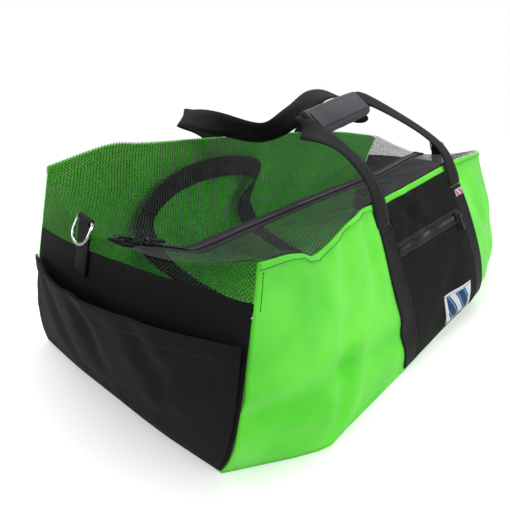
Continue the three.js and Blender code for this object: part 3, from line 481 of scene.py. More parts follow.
def band_from(rows, name):
    """A band drawn by extruding its first rung from row to row, with its map along the length."""
    bm = bmesh.new()
    layer = bm.loops.layers.uv.new("cloth")
    pair = [bm.verts.new(point) for point in rows[0]]
    edge = bm.edges.new(pair)
    places = {pair[0]: (0.0, 0.0), pair[1]: (0.0, WEB_WIDTH)}
    travelled = 0.0
    for before, row in zip(rows, rows[1:]):
        made = bmesh.ops.extrude_edge_only(bm, edges=[edge])["geom"]
        edge = next(g for g in made if isinstance(g, bmesh.types.BMEdge))
        travelled += ((row[0] + row[1]) / 2 - (before[0] + before[1]) / 2).length
        ahead = [next(e.other_vert(v) for e in v.link_edges if e.other_vert(v) in edge.verts) for v in pair]
        for vertex, point, across in zip(ahead, row, (0.0, WEB_WIDTH)):
            vertex.co = point
            places[vertex] = (travelled, across)
        pair = ahead
    for face in bm.faces:
        for loop in face.loops:
            loop[layer].uv = places[loop.vert]
    return as_object(bm, name), travelled


def as_object(bm, name):
    mesh = bpy.data.meshes.new(name)
    bm.to_mesh(mesh)
    bm.free()
    made = bpy.data.objects.new(name, mesh)
    bpy.context.scene.collection.objects.link(made)
    return made


def bake_modifiers(made):
    """Turns the piece with its modifiers into plain mesh."""
    graph = bpy.context.evaluated_depsgraph_get()
    mesh = bpy.data.meshes.new_from_object(made.evaluated_get(graph))
    made.modifiers.clear()
    old = made.data
    made.data = mesh
    mesh.name = made.name
    bpy.data.meshes.remove(old)
    return made


def smooth_out(made, levels):
    rounding = made.modifiers.new("smooth", "SUBSURF")
    rounding.levels = rounding.render_levels = levels
    rounding.boundary_smooth = "PRESERVE_CORNERS"
    return bake_modifiers(made)


def thicken(made, thickness, offset=-1.0):
    wall = made.modifiers.new("thickness", "SOLIDIFY")
    wall.thickness = thickness
    wall.offset = offset
    bake_modifiers(made)
    for face in made.data.polygons:
        face.use_smooth = True
    return made


def dress(made, finish, body, slot, *nodes):
    made.data.materials.clear()
    made.data.materials.append(finish)
    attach(made, body)
    if nodes:
        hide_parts(*nodes)
    return made


# %% [markdown]
# ## Layers that lie on each other
#
# A pocket, a label or a sewn strap follows every ripple of the wall under it. Each point of the upper
# layer is looked up on the lower layer as it was before it was creased, and set down on the same spot
# of the creased one, a small lift above it.

# %% Base layers and layers laid on them
class Base:
    """A layer before and after it was creased."""

    def __init__(self, made):
        self.made = made
        self.rest = [v.co.copy() for v in made.data.vertices]
        made.data.calc_loop_triangles()
        self.triangles = [tuple(t.vertices) for t in made.data.loop_triangles]
        self.tree = BVHTree.FromPolygons(self.rest, self.triangles)

    def settle(self):
        """Reads the creased shape and its normals."""
        self.now = [v.co.copy() for v in self.made.data.vertices]
        self.normals = [v.normal.copy() for v in self.made.data.vertices]

    def put(self, point, lift):
        place, _, index, _ = self.tree.find_nearest(point)
        corners = self.triangles[index]
        weights = poly_3d_calc([self.rest[c] for c in corners], place)
        moved, normal = Vector(), Vector()
        for corner, weight in zip(corners, weights):
            moved += self.now[corner] * weight
            normal += self.normals[corner] * weight
        return moved + normal.normalized() * lift


def lay_on(made, base, lift):
    for vertex in made.data.vertices:
        vertex.co = base.put(vertex.co, lift)
    made.data.update()
    return made


# %% [markdown]
# ## Creases and ripples
#
# Cloth that stands on its own buckles along a few clear lines and is gently uneven elsewhere. A crease
# is a line on the panel with a depth and a width: the cloth drops into it on one side and stands up a
# little on the other. Ripples are slow noise, and creases and ripples both fade out towards an edge that is
# held, such as a wall's foot.

# %% Creases
def crease_depth(point, crease):
    """How far the cloth moves outwards here for one crease: (start, end, depth, width, ridge)."""
    start, end, depth, width, ridge_height = crease
    line = end - start
    share = max(0.0, min(1.0, (point - start).dot(line) / line.length_squared))
    away = point - (start + line * share)
    side = line.normalized().cross(away)
    fade = math.sin(math.pi * (0.12 + 0.76 * share)) ** 0.7
    reach = away.length / width
    valley = -depth * math.exp(-reach * reach)
    beside = (away.length - 1.5 * width) / width
    shoulder = ridge_height * math.exp(-beside * beside) * (1 if side.dot(SIDE_SIGN) > 0 else 0.4)
    return fade * (valley + shoulder)


SIDE_SIGN = Vector((0, -1, 0))


def crease_all(made, flatten, creases, ripple, grain, hold):
    """Moves each vertex along its normal. `flatten` maps a point to the plane the creases are on."""
    normals = [v.normal.copy() for v in made.data.vertices]
    for vertex, normal in zip(made.data.vertices, normals):
        flat = flatten(vertex.co)
        out = sum(crease_depth(flat, crease) for crease in creases)
        wave = noise.noise(vertex.co * grain) + 0.5 * noise.noise(vertex.co * grain * 2.3)
        out += ripple * wave
        vertex.co += normal * (out * hold(vertex.co))
    made.data.update()
    return made


def between(value, low, high):
    return max(0.0, min(1.0, (value - low) / (high - low)))


print("crease helpers ready")

# %% [markdown]
# ## The green walls
#
# The near part of the front wall is the piece that meets the eye first. It stands without support, so
# it has buckled into one large flat triangle low down, with a pinch where the three folds meet, and
# softer drapes hang from the top edge. The creases are placed as shares of the wall's own box.

# %% Creases of the front wall
WALL_LOW, WALL_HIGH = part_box("front_wall")


def on_wall(share_x, share_z):
    return Vector((
        WALL_LOW.x + (WALL_HIGH.x - WALL_LOW.x) * share_x,
        0,
        WALL_LOW.z + (WALL_HIGH.z - WALL_LOW.z) * share_z,
    ))


def flat_side(point):
    return Vector((point.x, 0, point.z))


FRONT_CREASES = [
    (on_wall(-0.02, 0.34), on_wall(0.21, 0.30), 0.0105, 0.020, 0.0040),
    (on_wall(0.21, 0.30), on_wall(0.40, 0.20), 0.0060, 0.018, 0.0030),
    (on_wall(0.22, 0.32), on_wall(0.15, 0.02), 0.0070, 0.016, 0.0050),
    (on_wall(0.19, 0.31), on_wall(0.27, 0.62), 0.0042, 0.022, 0.0030),
    (on_wall(0.06, 0.20), on_wall(0.16, 0.02), 0.0040, 0.014, 0.0024),
    (on_wall(0.30, 0.95), on_wall(0.24, 0.62), 0.0040, 0.017, 0.0034),
    (on_wall(0.35, 0.90), on_wall(0.33, 0.45), 0.0040, 0.016, 0.0030),
    (on_wall(0.08, 0.88), on_wall(0.17, 0.66), 0.0036, 0.020, 0.0024),
    (on_wall(0.45, 0.86), on_wall(0.56, 0.55), 0.0030, 0.013, 0.0024),
    (on_wall(0.52, 0.84), on_wall(0.46, 0.58), 0.0024, 0.012, 0.0020),
    (on_wall(0.60, 0.40), on_wall(0.50, 0.12), 0.0030, 0.020, 0.0020),
    (on_wall(0.72, 0.80), on_wall(0.80, 0.30), 0.0036, 0.020, 0.0030),
    (on_wall(0.86, 0.70), on_wall(0.80, 0.15), 0.0050, 0.022, 0.0036),
    (on_wall(0.97, 0.55), on_wall(0.84, 0.30), 0.0040, 0.018, 0.0030),
]
BACK_CREASES = [
    (on_wall(0.02, 0.30), on_wall(0.26, 0.42), 0.0070, 0.022, 0.0040),
    (on_wall(0.26, 0.42), on_wall(0.34, 0.05), 0.0050, 0.020, 0.0030),
    (on_wall(0.30, 0.95), on_wall(0.38, 0.50), 0.0040, 0.018, 0.0030),
    (on_wall(0.52, 0.88), on_wall(0.60, 0.35), 0.0036, 0.020, 0.0030),
    (on_wall(0.82, 0.65), on_wall(0.74, 0.15), 0.0050, 0.024, 0.0034),
    (on_wall(0.95, 0.55), on_wall(0.82, 0.36), 0.0040, 0.018, 0.0026),
]
FLOOR_LINE = WALL_LOW.z


def hold_foot(point):
    """No movement at the foot, so that the wall still meets the floor panel."""
    return between(point.z - FLOOR_LINE, 0.0, 0.020)


# %% Green walls
CLOTH = 0.0016


def wall_piece(node, name, creases):
    bm = outer_side(node)
    lay_out(bm, (0, 2))
    made = smooth_out(as_object(bm, name), 3)
    base = Base(made)
    crease_all(made, flat_side, creases, 0.0011, 13, hold_foot)
    base.settle()
    return made, base


front_wall, FRONT_BASE = wall_piece("front_wall", "front_wall_cloth", FRONT_CREASES)
back_wall, BACK_BASE = wall_piece("back_wall", "back_wall_cloth", BACK_CREASES)
for wall, node in ((front_wall, "front_wall"), (back_wall, "back_wall")):
    thicken(wall, CLOTH)
    dress(wall, SHELL, "bag", "shell_fabric", node)
print("wall faces:", len(front_wall.data.polygons), len(back_wall.data.polygons))

# %% [markdown]
# The floor is one flat panel. It rests on the ground, so it stays flat, and only its edges are rounded
# by a small bevel.

# %% Floor panel
def soft_copy(node, name, bevel=0.0005, segments=2, levels=0):
    """A whole closed piece with its edges rounded, for parts whose shape is already right."""
    bm = merged_copy(node)
    sharp = [e for e in bm.edges if e.calc_face_angle(0.0) > math.radians(28)]
    if bevel and sharp:
        bmesh.ops.bevel(
            bm, geom=sharp, offset=bevel, offset_type="OFFSET", segments=segments, profile=0.5,
            affect="EDGES", material=-1, clamp_overlap=True,
        )
    made = as_object(bm, name)
    if levels:
        smooth_out(made, levels)
    for face in made.data.polygons:
        face.use_smooth = True
    made.data.set_sharp_from_angle(angle=math.radians(40))
    return made


def cube_map(made):
    """A UV map in metres on whichever plane each face lies nearest to."""
    layer = made.data.uv_layers.new(name="cloth")
    for face in made.data.polygons:
        size = [abs(c) for c in face.normal]
        axes = [i for i in range(3) if i != size.index(max(size))]
        for loop in face.loop_indices:
            place = made.data.vertices[made.data.loops[loop].vertex_index].co
            layer.data[loop].uv = (place[axes[0]], place[axes[1]])
    return made


floor_cloth = cube_map(soft_copy("floor_panel", "floor_cloth", bevel=0.0004, segments=1))
dress(floor_cloth, SHELL, "bag", "shell_fabric", "floor_panel")

# %% [markdown]
# ## The black ends
#
# Each end is a black panel with a net gusset above it and an open slip pocket in front. The pocket's
# mouth gapes, so its cloth hangs in soft vertical folds from the hem, and the hem is a second band of
# cloth folded over and sewn down.

# %% End panels and gussets
def flat_end(point):
    return Vector((0, point.y, point.z))


def end_creases(node, sign):
    low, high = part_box(node)

    def spot(share_y, share_z):
        return Vector((0, low.y + (high.y - low.y) * share_y, low.z + (high.z - low.z) * share_z))

    return [
        (spot(0.10, 0.78), spot(0.42, 0.30), 0.0050, 0.024, 0.0040),
        (spot(0.55, 0.96), spot(0.50, 0.45), 0.0060, 0.018, 0.0050),
        (spot(0.80, 0.92), spot(0.66, 0.30), 0.0050, 0.022, 0.0040),
        (spot(0.30, 0.95), spot(0.24, 0.50), 0.0050, 0.018, 0.0036),
        (spot(0.20, 0.30), spot(0.60, 0.14), 0.0040, 0.020, 0.0030),
    ]


def end_piece(node, name, creases, finish, slot, thickness, ripple=0.0010, levels=3):
    away = Vector((-1 if "near" in node else 1, 0, 0))
    bm = outer_side(node, away)
    lay_out(bm, (1, 2))
    made = smooth_out(as_object(bm, name), levels)
    base = Base(made)
    crease_all(made, flat_end, creases, ripple, 16, hold_foot)
    base.settle()
    thicken(made, thickness)
    dress(made, finish, "bag", slot, node)
    return made, base


POCKETS = {}
for side in ("near", "far"):
    end_piece(f"{side}_end_panel", f"{side}_end_cloth", [], BLACK, "black_fabric", CLOTH, 0.0006)
    end_piece(f"{side}_mesh_gusset", f"{side}_gusset_net", [], OPEN_NET, "mesh", 0.0009, 0.0006)
    folds = end_creases(f"{side}_pocket_panel", -1 if side == "near" else 1)
    made, base = end_piece(
        f"{side}_pocket_panel", f"{side}_pocket_cloth", folds, BLACK, "black_fabric", CLOTH, 0.0018,
    )
    POCKETS[side] = base
    hem = outer_side(f"{side}_pocket_hem", Vector((-1 if side == "near" else 1, 0, 0)))
    lay_out(hem, (1, 2))
    hem = lay_on(smooth_out(as_object(hem, f"{side}_pocket_hem_cloth"), 3), base, 0.0022)
    thicken(hem, 0.0018)
    dress(hem, BLACK, "bag", "black_fabric", f"{side}_pocket_hem")
print("ends done")

# %% [markdown]
# ## The net top and its zipper
#
# The top hangs from both rims to the zipper. It is fine enough to show the lime inside and open enough
# to show the strap stowed against the back wall. It ripples more than the coated cloth does, because
# it has no stiffness of its own.

# %% Net top
UP = Vector((0, 0, 1))
SEAM_HOLD = 0.030


def top_piece(node, name, finish, slot, thickness, ripple):
    bm = outer_side(node, UP)
    lay_out(bm, (0, 1))
    made = smooth_out(as_object(bm, name), 3)
    edge = BVHTree.FromBMesh(edge_ribbon(made))
    crease_all(made, lambda p: p, [], ripple, 17, lambda p: between(edge.find_nearest(p)[3], 0, SEAM_HOLD))
    thicken(made, thickness)
    return dress(made, finish, "bag", slot, node)


def edge_ribbon(made):
    """A thin ribbon along the piece's open edge, to measure how far a point is from it."""
    bm = bmesh.new()
    bm.from_mesh(made.data)
    rim = [e for e in bm.edges if e.is_boundary]
    inner = [f for f in bm.faces if not any(e in f.edges for e in rim)]
    made_edges = bmesh.ops.extrude_edge_only(bm, edges=rim)["geom"]
    raised = [v for v in made_edges if isinstance(v, bmesh.types.BMVert)]
    bmesh.ops.translate(bm, verts=raised, vec=(0, 0, 0.0002))
    keep = {f for f in made_edges if isinstance(f, bmesh.types.BMFace)}
    bmesh.ops.delete(bm, geom=[f for f in bm.faces if f not in keep], context="FACES")
    return bm


for side, net in (("front", NET), ("back", OPEN_NET)):
    top_piece(f"mesh_top_{side}", f"net_top_{side}", net, "mesh", 0.0009, 0.0030)
    top_piece(f"zipper_tape_{side}", f"zipper_tape_{side}_cloth", TAPE, "zipper", 0.0009, 0.0)
print("net top done")

# %% [markdown]
# The coil of a zipper is a long row of small loops. Each loop is one short rounded bar, set across the
# chain, and neighbouring bars lean opposite ways. Hundreds are needed, so each has only a few faces.

# %% Zipper teeth
def line_on(node, share, along=0, across=1, away=None, gap=0.002):
    """Points along a panel's outer side, a share of the way across it."""
    bm = outer_side(node, away)
    points = sorted((v.co.copy() for v in bm.verts), key=lambda p: p[along])
    bm.free()
    rows = [[points[0]]]
    for point in points[1:]:
        if point[along] - rows[-1][-1][along] > gap:
            rows.append([])
        rows[-1].append(point)
    line = []
    for row in rows:
        row.sort(key=lambda p: p[across])
        line.append(row[0].lerp(row[-1], share))
    return line


def walk(line, pitch):
    """(point, direction) at even steps along a line."""
    steps, due = [], pitch / 2
    travelled = 0.0
    for start, end in zip(line, line[1:]):
        length = (end - start).length
        while length > 1e-7 and due <= travelled + length:
            share = (due - travelled) / length
            steps.append((start.lerp(end, share), (end - start).normalized()))
            due += pitch
        travelled += length
    return steps


def bars(name, places, length, width, height):
    """A row of small bars; each place is (centre, along, across, up)."""
    bm = bmesh.new()
    for centre, along, across, up in places:
        made = bmesh.ops.create_cone(bm, segments=6, radius1=0.5, radius2=0.5, depth=1.0, cap_ends=True)
        for vertex in made["verts"]:
            x, y, z = vertex.co
            vertex.co = centre + along * (x * width) + up * (y * height) + across * (z * length)
    bmesh.ops.recalc_face_normals(bm, faces=bm.faces)
    return as_object(bm, name)


TOOTH_PITCH = 0.0026


def coil_on(node, name, away, chain_width, drop):
    line = [p - away * drop for p in line_on(node, 0.5, 0, 1, away)]
    places = []
    for i, (point, along) in enumerate(walk(line, TOOTH_PITCH)):
        across = away.cross(along).normalized()
        up = along.cross(across)
        lean = (across + along * (0.16 if i % 2 else -0.16)).normalized()
        places.append((point, along, lean, up))
    made = bars(name, places, chain_width, TOOTH_PITCH * 0.8, 0.0021)
    for face in made.data.polygons:
        face.use_smooth = True
    made.data.set_sharp_from_angle(angle=math.radians(50))
    return made, len(places)


top_coil, tooth_count = coil_on("zipper_teeth", "top_zipper_coil", UP, 0.0072, 0.0011)
dress(top_coil, COIL, "bag", "zipper", "zipper_teeth")
for side in ("near", "far"):
    stop = cube_map(soft_copy(f"{side}_zipper_stop", f"{side}_stop_cloth", 0.0005))
    dress(stop, BLACK, "bag", "black_fabric", f"{side}_zipper_stop")
print("teeth:", tooth_count)

# %% [markdown]
# ## What is sewn on the front wall
#
# The zipped pocket fills the wall between the two handle legs: a lower and an upper panel with the
# pocket's own zipper between them. Webbing runs down the wall at each side and hides the panels' edges.

# %% Pocket, label and sewn webbing
def laid_piece(node, name, base, lift, thickness, finish, slot, levels=3, strap=False, away=None):
    bm = outer_side(node, away)
    lay_out(bm, (2, 0) if strap else (0, 2))
    made = lay_on(smooth_out(as_object(bm, name), levels), base, lift)
    thicken(made, thickness)
    return dress(made, finish, "bag", slot, node)


POCKET_LIFT = 0.0024
laid_piece("front_pocket_lower", "pocket_lower_cloth", FRONT_BASE, POCKET_LIFT, 0.0015, BLACK, "black_fabric")
laid_piece("front_pocket_upper", "pocket_upper_cloth", FRONT_BASE, POCKET_LIFT, 0.0015, BLACK, "black_fabric")
laid_piece("front_pocket_tape", "pocket_tape_cloth", FRONT_BASE, 0.0020, 0.0011, TAPE, "zipper")
for leg in ("near", "far"):
    laid_piece(f"front_handle_sewn_{leg}", f"front_leg_{leg}_webbing", FRONT_BASE, 0.0026, 0.0017,
               WEBBING, "webbing", strap=True)
    laid_piece(f"back_handle_sewn_{leg}", f"back_leg_{leg}_webbing", BACK_BASE, 0.0026, 0.0017,
               WEBBING, "webbing", strap=True)
HEMS = (
    ("front", FRONT_BASE, ("near", "far")),
    ("back", BACK_BASE, ("near", "middle", "far")),
)
for side, base, spots in HEMS:
    for spot_name in spots:
        laid_piece(f"{side}_hem_{spot_name}", f"{side}_hem_{spot_name}_cloth", base, 0.0021, 0.0012,
                   SHELL, "shell_fabric")
print("front wall layers done")

# %% [markdown]
# The pocket's own coil is laid along the wall, so its loops stand on the creased cloth.

# %% Pocket coil
def direction_away(base, point):
    here = base.put(point, 0.0)
    return (base.put(point, 0.004) - here).normalized()


def coil_on_wall(node, name, base, lift, chain_width):
    line = line_on(node, 0.5, 0, 2)
    places = []
    for i, (point, along) in enumerate(walk(line, TOOTH_PITCH)):
        up = direction_away(base, point)
        across = up.cross(along).normalized()
        lean = (across + along * (0.16 if i % 2 else -0.16)).normalized()
        places.append((base.put(point, lift), along, lean, up))
    made = bars(name, places, chain_width, TOOTH_PITCH * 0.8, 0.0020)
    for face in made.data.polygons:
        face.use_smooth = True
    made.data.set_sharp_from_angle(angle=math.radians(50))
    return made


pocket_coil = coil_on_wall("front_pocket_teeth", "pocket_zipper_coil", FRONT_BASE, 0.0032, 0.0068)
dress(pocket_coil, COIL, "bag", "zipper", "front_pocket_teeth")

# %% [markdown]
# ## Labels
#
# A woven label is dense and matt, with a folded white border. Its field here is a plain pattern of
# blue slanting bands, which stands for printing without saying anything. The map on it runs from 0
# to 1 each way, so the border has the same width on every side.

# %% Label finishes
def share_map(made, axes):
    """A UV map from 0 to 1 across the piece, on two of its coordinates."""
    points = [v.co for v in made.data.vertices]
    low = [min(p[a] for p in points) for a in axes]
    high = [max(p[a] for p in points) for a in axes]
    layer = made.data.uv_layers.new(name="share")
    for loop in made.data.loops:
        place = made.data.vertices[loop.vertex_index].co
        layer.data[loop.index].uv = [(place[a] - lo) / (hi - lo) for a, lo, hi in zip(axes, low, high)]
    return made


def edge_mask(tree, across, up, border_x, border_y):
    """1 on the field, 0 on the border."""
    inside = None
    for value, border in ((across, border_x), (up, border_y)):
        from_middle = math_node(tree, "ABSOLUTE", math_node(tree, "SUBTRACT", value, 0.5))
        part = math_node(tree, "LESS_THAN", from_middle, 0.5 - border)
        inside = part if inside is None else math_node(tree, "MULTIPLY", inside, part)
    return inside


LABEL_THREAD = 0.0008


def label_finish(name, field, border, border_x, border_y):
    finish, tree, shader = new_finish(name, 0.8, sheen=0.1)
    uv = add(tree, "ShaderNodeUVMap", uv_map="share")
    split = add(tree, "ShaderNodeSeparateXYZ")
    tree.links.new(uv.outputs[0], split.inputs[0])
    across, up = split.outputs[0], split.outputs[1]
    slant = math_node(tree, "ADD", across, math_node(tree, "MULTIPLY", up, 0.45))
    wave = ridge(tree, slant, 0.55)
    bands = blend_colours(tree, math_node(tree, "ADD", math_node(tree, "MULTIPLY", wave, 0.5), 0.5), field)
    bands.node.color_ramp.interpolation = "CONSTANT"
    mix = add(tree, "ShaderNodeMix", data_type="RGBA")
    mix.inputs[6].default_value = (*border, 1)
    tree.links.new(edge_mask(tree, across, up, border_x, border_y), mix.inputs[0])
    tree.links.new(bands, mix.inputs[7])
    tree.links.new(mix.outputs[2], shader.inputs["Base Color"])
    place = add(tree, "ShaderNodeTexCoord")
    spread_out = add(tree, "ShaderNodeSeparateXYZ")
    tree.links.new(place.outputs["Object"], spread_out.inputs[0])
    weft, warp = (ridge(tree, spread_out.outputs[i], LABEL_THREAD) for i in (0, 2))
    threads = math_node(tree, "MULTIPLY", weft, warp)
    add_bump(tree, shader, threads, 0.00012, 0.6)
    return finish


LABEL = label_finish(
    "woven_label_cloth",
    [
        (0.0, srgb(36, 60, 104)), (0.30, srgb(96, 156, 196)),
        (0.52, srgb(30, 52, 92)), (0.74, srgb(214, 226, 232)),
    ],
    srgb(232, 236, 238), 0.085, 0.10,
)
TAB_LABEL = label_finish(
    "tab_label_cloth",
    [
        (0.0, srgb(196, 84, 104)), (0.42, srgb(226, 222, 224)),
        (0.66, srgb(92, 92, 140)), (0.85, srgb(222, 206, 212)),
    ],
    srgb(224, 222, 224), 0.03, 0.06,
)


def label_piece(node, name, finish, lift, thickness):
    bm = outer_side(node)
    lay_out(bm, (0, 2))
    made = lay_on(smooth_out(as_object(bm, name), 3), FRONT_BASE, lift)
    share_map(thicken(made, thickness), (0, 2))
    return dress(made, finish, "bag", "label_cloth", node)


label_piece("woven_label", "woven_label_patch", LABEL, 0.0034, 0.0008)
label_piece("side_tab_label", "side_tab", TAB_LABEL, 0.0046, 0.0009)
print("labels done")

# %% [markdown]
# ## Free webbing
#
# The handles and the stowed strap are flat bands that twist and turn. Each is a ladder of faces, so
# the ribs of the weave follow it round every bend. A flat band has a slightly thicker, rounder edge.

# %% Handles and strap
def band_piece(node, name, body, thickness=0.0017, levels=2):
    made, length = band_from(band_rows(node), name)
    made = thicken(smooth_out(made, levels), thickness, 0.0)
    dress(made, WEBBING, body, "webbing", node)
    print(name, "length", round(length * 1000), "mm")
    return made


band_piece("front_handle", "front_handle_webbing", "front_handle")
band_piece("back_handle", "back_handle_webbing", "back_handle")
band_piece("stowed_strap", "stowed_strap_webbing", "bag")

# %% [markdown]
# ## The padded grip
#
# The wrap is a piece of foam in a satin cover, closed round the webbing by a flap. The frame's wrap is
# a straight bar, so it is cut across into slices first. The slices can then swell between the ends,
# and the cover gets a few shallow pinches.

# %% Grip finish and shape
GRIP_COLOURS = (srgb(40, 38, 44), srgb(54, 51, 59), srgb(68, 65, 73))
GRIP_COVER = woven_finish("satin_grip_cover", GRIP_COLOURS, 0.40, 0.3, 0.0010)
GRIP_AXIS = Vector(JOINTS["grip_flap_peel"]["axis"]).normalized()
SLICES = 18


def grip_wrap_piece():
    bm = merged_copy("grip_wrap")
    middle = sum((v.co for v in bm.verts), Vector()) / len(bm.verts)
    reach = max((v.co - middle).dot(GRIP_AXIS) for v in bm.verts)
    for i in range(1, SLICES):
        cut = middle + GRIP_AXIS * (reach * (2 * i / SLICES - 1))
        everything = bm.verts[:] + bm.edges[:] + bm.faces[:]
        bmesh.ops.bisect_plane(bm, geom=everything, plane_co=cut, plane_no=GRIP_AXIS)
    rims = [e for e in bm.edges if e.calc_face_angle(0.0) > math.radians(70)]
    bmesh.ops.bevel(
        bm, geom=rims, offset=0.0012, offset_type="OFFSET", segments=3, profile=0.5,
        affect="EDGES", material=-1, clamp_overlap=True,
    )
    for vertex in bm.verts:
        along = (vertex.co - middle).dot(GRIP_AXIS)
        out = vertex.co - middle - GRIP_AXIS * along
        if out.length < 0.0065:
            continue
        swell = 0.0010 * (1 - (along / reach) ** 2)
        pinch = 0.0007 * noise.noise(vertex.co * 55)
        vertex.co += out.normalized() * (swell + pinch)
    bmesh.ops.recalc_face_normals(bm, faces=bm.faces)
    made = as_object(bm, "grip_wrap_cover")
    for face in made.data.polygons:
        face.use_smooth = True
    made.data.set_sharp_from_angle(angle=math.radians(50))
    return cube_map(made)


grip_cover = grip_wrap_piece()
dress(grip_cover, GRIP_COVER, "front_handle", "grip_fabric", "grip_wrap")
grip_flap = cube_map(soft_copy("grip_flap", "grip_flap_cover", 0.0009, 3))
dress(grip_flap, GRIP_COVER, "grip_flap", "grip_fabric", "grip_flap")
print("grip done")

# %% [markdown]
# ## Ring tabs and D-rings
#
# Each tab is a stiff doubled strip of webbing that stands up from the end. The D-ring is one bent wire:
# a straight bar through the tab's loop and a round bow. It is drawn as a closed curve with a round
# section, which keeps the wire even, and then made a mesh.

# %% Rings
RING_WIRE = 0.0022
RING_HALF = 0.0162
RING_DROP = 0.0178


def ring_piece(side):
    joint = JOINTS[f"{side}_ring_swing"]
    pivot = Vector(joint["pos_m"])
    axis = Vector(joint["axis"]).normalized()
    low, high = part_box(f"{side}_d_ring")
    down = (low + high) / 2 - pivot
    down = (down - axis * down.dot(axis)).normalized()
    corners = [(-RING_HALF, 0.0), (-RING_HALF, RING_DROP)]
    bow = [
        (-RING_HALF * math.cos(a), RING_DROP + RING_HALF * math.sin(a))
        for a in (math.pi * i / 14 for i in range(1, 14))
    ]
    path = corners + bow + [(RING_HALF, RING_DROP), (RING_HALF, 0.0)]
    curve = bpy.data.curves.new(f"{side}_ring", "CURVE")
    curve.dimensions = "3D"
    spline = curve.splines.new("POLY")
    spline.points.add(len(path) - 1)
    for point, (x, y) in zip(spline.points, path):
        point.co = (*(pivot + axis * x + down * y), 1)
    spline.use_cyclic_u = True
    curve.bevel_depth = RING_WIRE
    curve.bevel_resolution = 4
    drawn = bpy.data.objects.new(f"{side}_ring_drawn", curve)
    bpy.context.scene.collection.objects.link(drawn)
    graph = bpy.context.evaluated_depsgraph_get()
    mesh = bpy.data.meshes.new_from_object(drawn.evaluated_get(graph))
    bpy.data.objects.remove(drawn)
    made = bpy.data.objects.new(f"{side}_ring_wire", mesh)
    bpy.context.scene.collection.objects.link(made)
    for face in made.data.polygons:
        face.use_smooth = True
    return dress(made, PLATING, f"{side}_ring", "ring_metal", f"{side}_d_ring")


for side in ("near", "far"):
    ring_piece(side)
    tab = cube_map(soft_copy(f"{side}_ring_tab", f"{side}_ring_tab_webbing", 0.0006))
    dress(tab, WEBBING, "bag", "webbing", f"{side}_ring_tab")
print("rings done")

# %% [markdown]
# ## Hooks, sliders and pulls
#
# These are moulded or cast, and their shapes are already right. What they lack is a rounded edge: no
# real moulding has a sharp one, and the thin bright line that a rounded edge catches makes it look
# made rather than drawn.

# %% Hardware
for side in ("near", "far"):
    hook = soft_copy(f"{side}_strap_hook", f"{side}_hook_cast", 0.0008)
    dress(hook, PLATING, "bag", "ring_metal", f"{side}_strap_hook")
    gate = soft_copy(f"{side}_hook_gate", f"{side}_gate_cast", 0.0005)
    dress(gate, PLATING, f"{side}_gate", "ring_metal", f"{side}_hook_gate")
for name in ("rear", "lead", "front_pocket"):
    slider = soft_copy(f"{name}_slider", f"{name}_slider_body", 0.0006)
    dress(slider, PLASTIC, f"{name}_slider", "slider_plastic", f"{name}_slider")
    pull = soft_copy(f"{name}_pull", f"{name}_pull_tab", 0.0006)
    dress(pull, PLASTIC, f"{name}_pull", "slider_plastic", f"{name}_pull")
print("hardware done")

# %% [markdown]
# ## Stitching
#
# Seams are what make cloth look sewn. A row of stitches is a row of short rounded bars that lie along
# a line on the cloth. Bar tacks, where a strap leaves the wall, are the same bars set close together
# across the strap.

# %% Stitches
STITCH_PITCH = 0.0042
STITCH_LENGTH = 0.0030
STITCH_THICK = 0.0008


def stitch_row(name, line, base, lift, finish, slot, body="bag"):
    places = []
    for point, along in walk(line, STITCH_PITCH):
        up = direction_away(base, point)
        side = up.cross(along).normalized()
        places.append((base.put(point, lift), side, along, up))
    made = bars(name, places, STITCH_LENGTH, STITCH_THICK, STITCH_THICK)
    return dress(made, finish, body, slot)


for side, base, spots in HEMS:
    for spot_name in spots:
        line = line_on(f"{side}_hem_{spot_name}", 0.22, 0, 2)
        stitch_row(f"{side}_hem_{spot_name}_stitches", line, base, 0.0024, THREAD, "shell_fabric")
for side, base in (("front", FRONT_BASE), ("back", BACK_BASE)):
    for leg in ("near", "far"):
        for edge_name, share in (("a", 0.07), ("b", 0.93)):
            line = line_on(f"{side}_handle_sewn_{leg}", share, 2, 0)
            stitch_row(f"{side}_leg_{leg}_stitches_{edge_name}", line, base, 0.0029, THREAD, "webbing")
for name, node, share in (
    ("low", "front_pocket_lower", 0.975),
    ("high", "front_pocket_upper", 0.05),
    ("top", "front_pocket_upper", 0.94),
):
    line = line_on(node, share, 0, 2)
    stitch_row(f"pocket_{name}_stitches", line, FRONT_BASE, POCKET_LIFT + 0.0003, THREAD, "black_fabric")
for edge_name, share in (("low", 0.06), ("high", 0.94)):
    line = line_on("woven_label", share, 0, 2)
    stitch_row(f"label_stitches_{edge_name}", line, FRONT_BASE, 0.0038, PALE_THREAD, "label_cloth")


def front_spot(x, z):
    """The point of the smooth front wall at this x and z, or None past its edge."""
    return FRONT_BASE.tree.ray_cast(Vector((x, -1, z)), Vector((0, 1, 0)))[0]


def near_edge_line(inset, low_share, high_share, count=24):
    line = []
    for i in range(count):
        share = high_share + (low_share - high_share) * i / (count - 1)
        z = WALL_LOW.z + (WALL_HIGH.z - WALL_LOW.z) * share
        x = WALL_LOW.x - 0.01
        while front_spot(x, z) is None and x < WALL_LOW.x + 0.1:
            x += 0.0005
        spot = front_spot(x + inset, z)
        if spot is not None:
            line.append(spot)
    return line


corner_line = near_edge_line(0.009, 0.80, 0.955)
stitch_row("near_corner_stitches", corner_line, FRONT_BASE, 0.0004, THREAD, "shell_fabric")


TACK_BELOW = 0.014


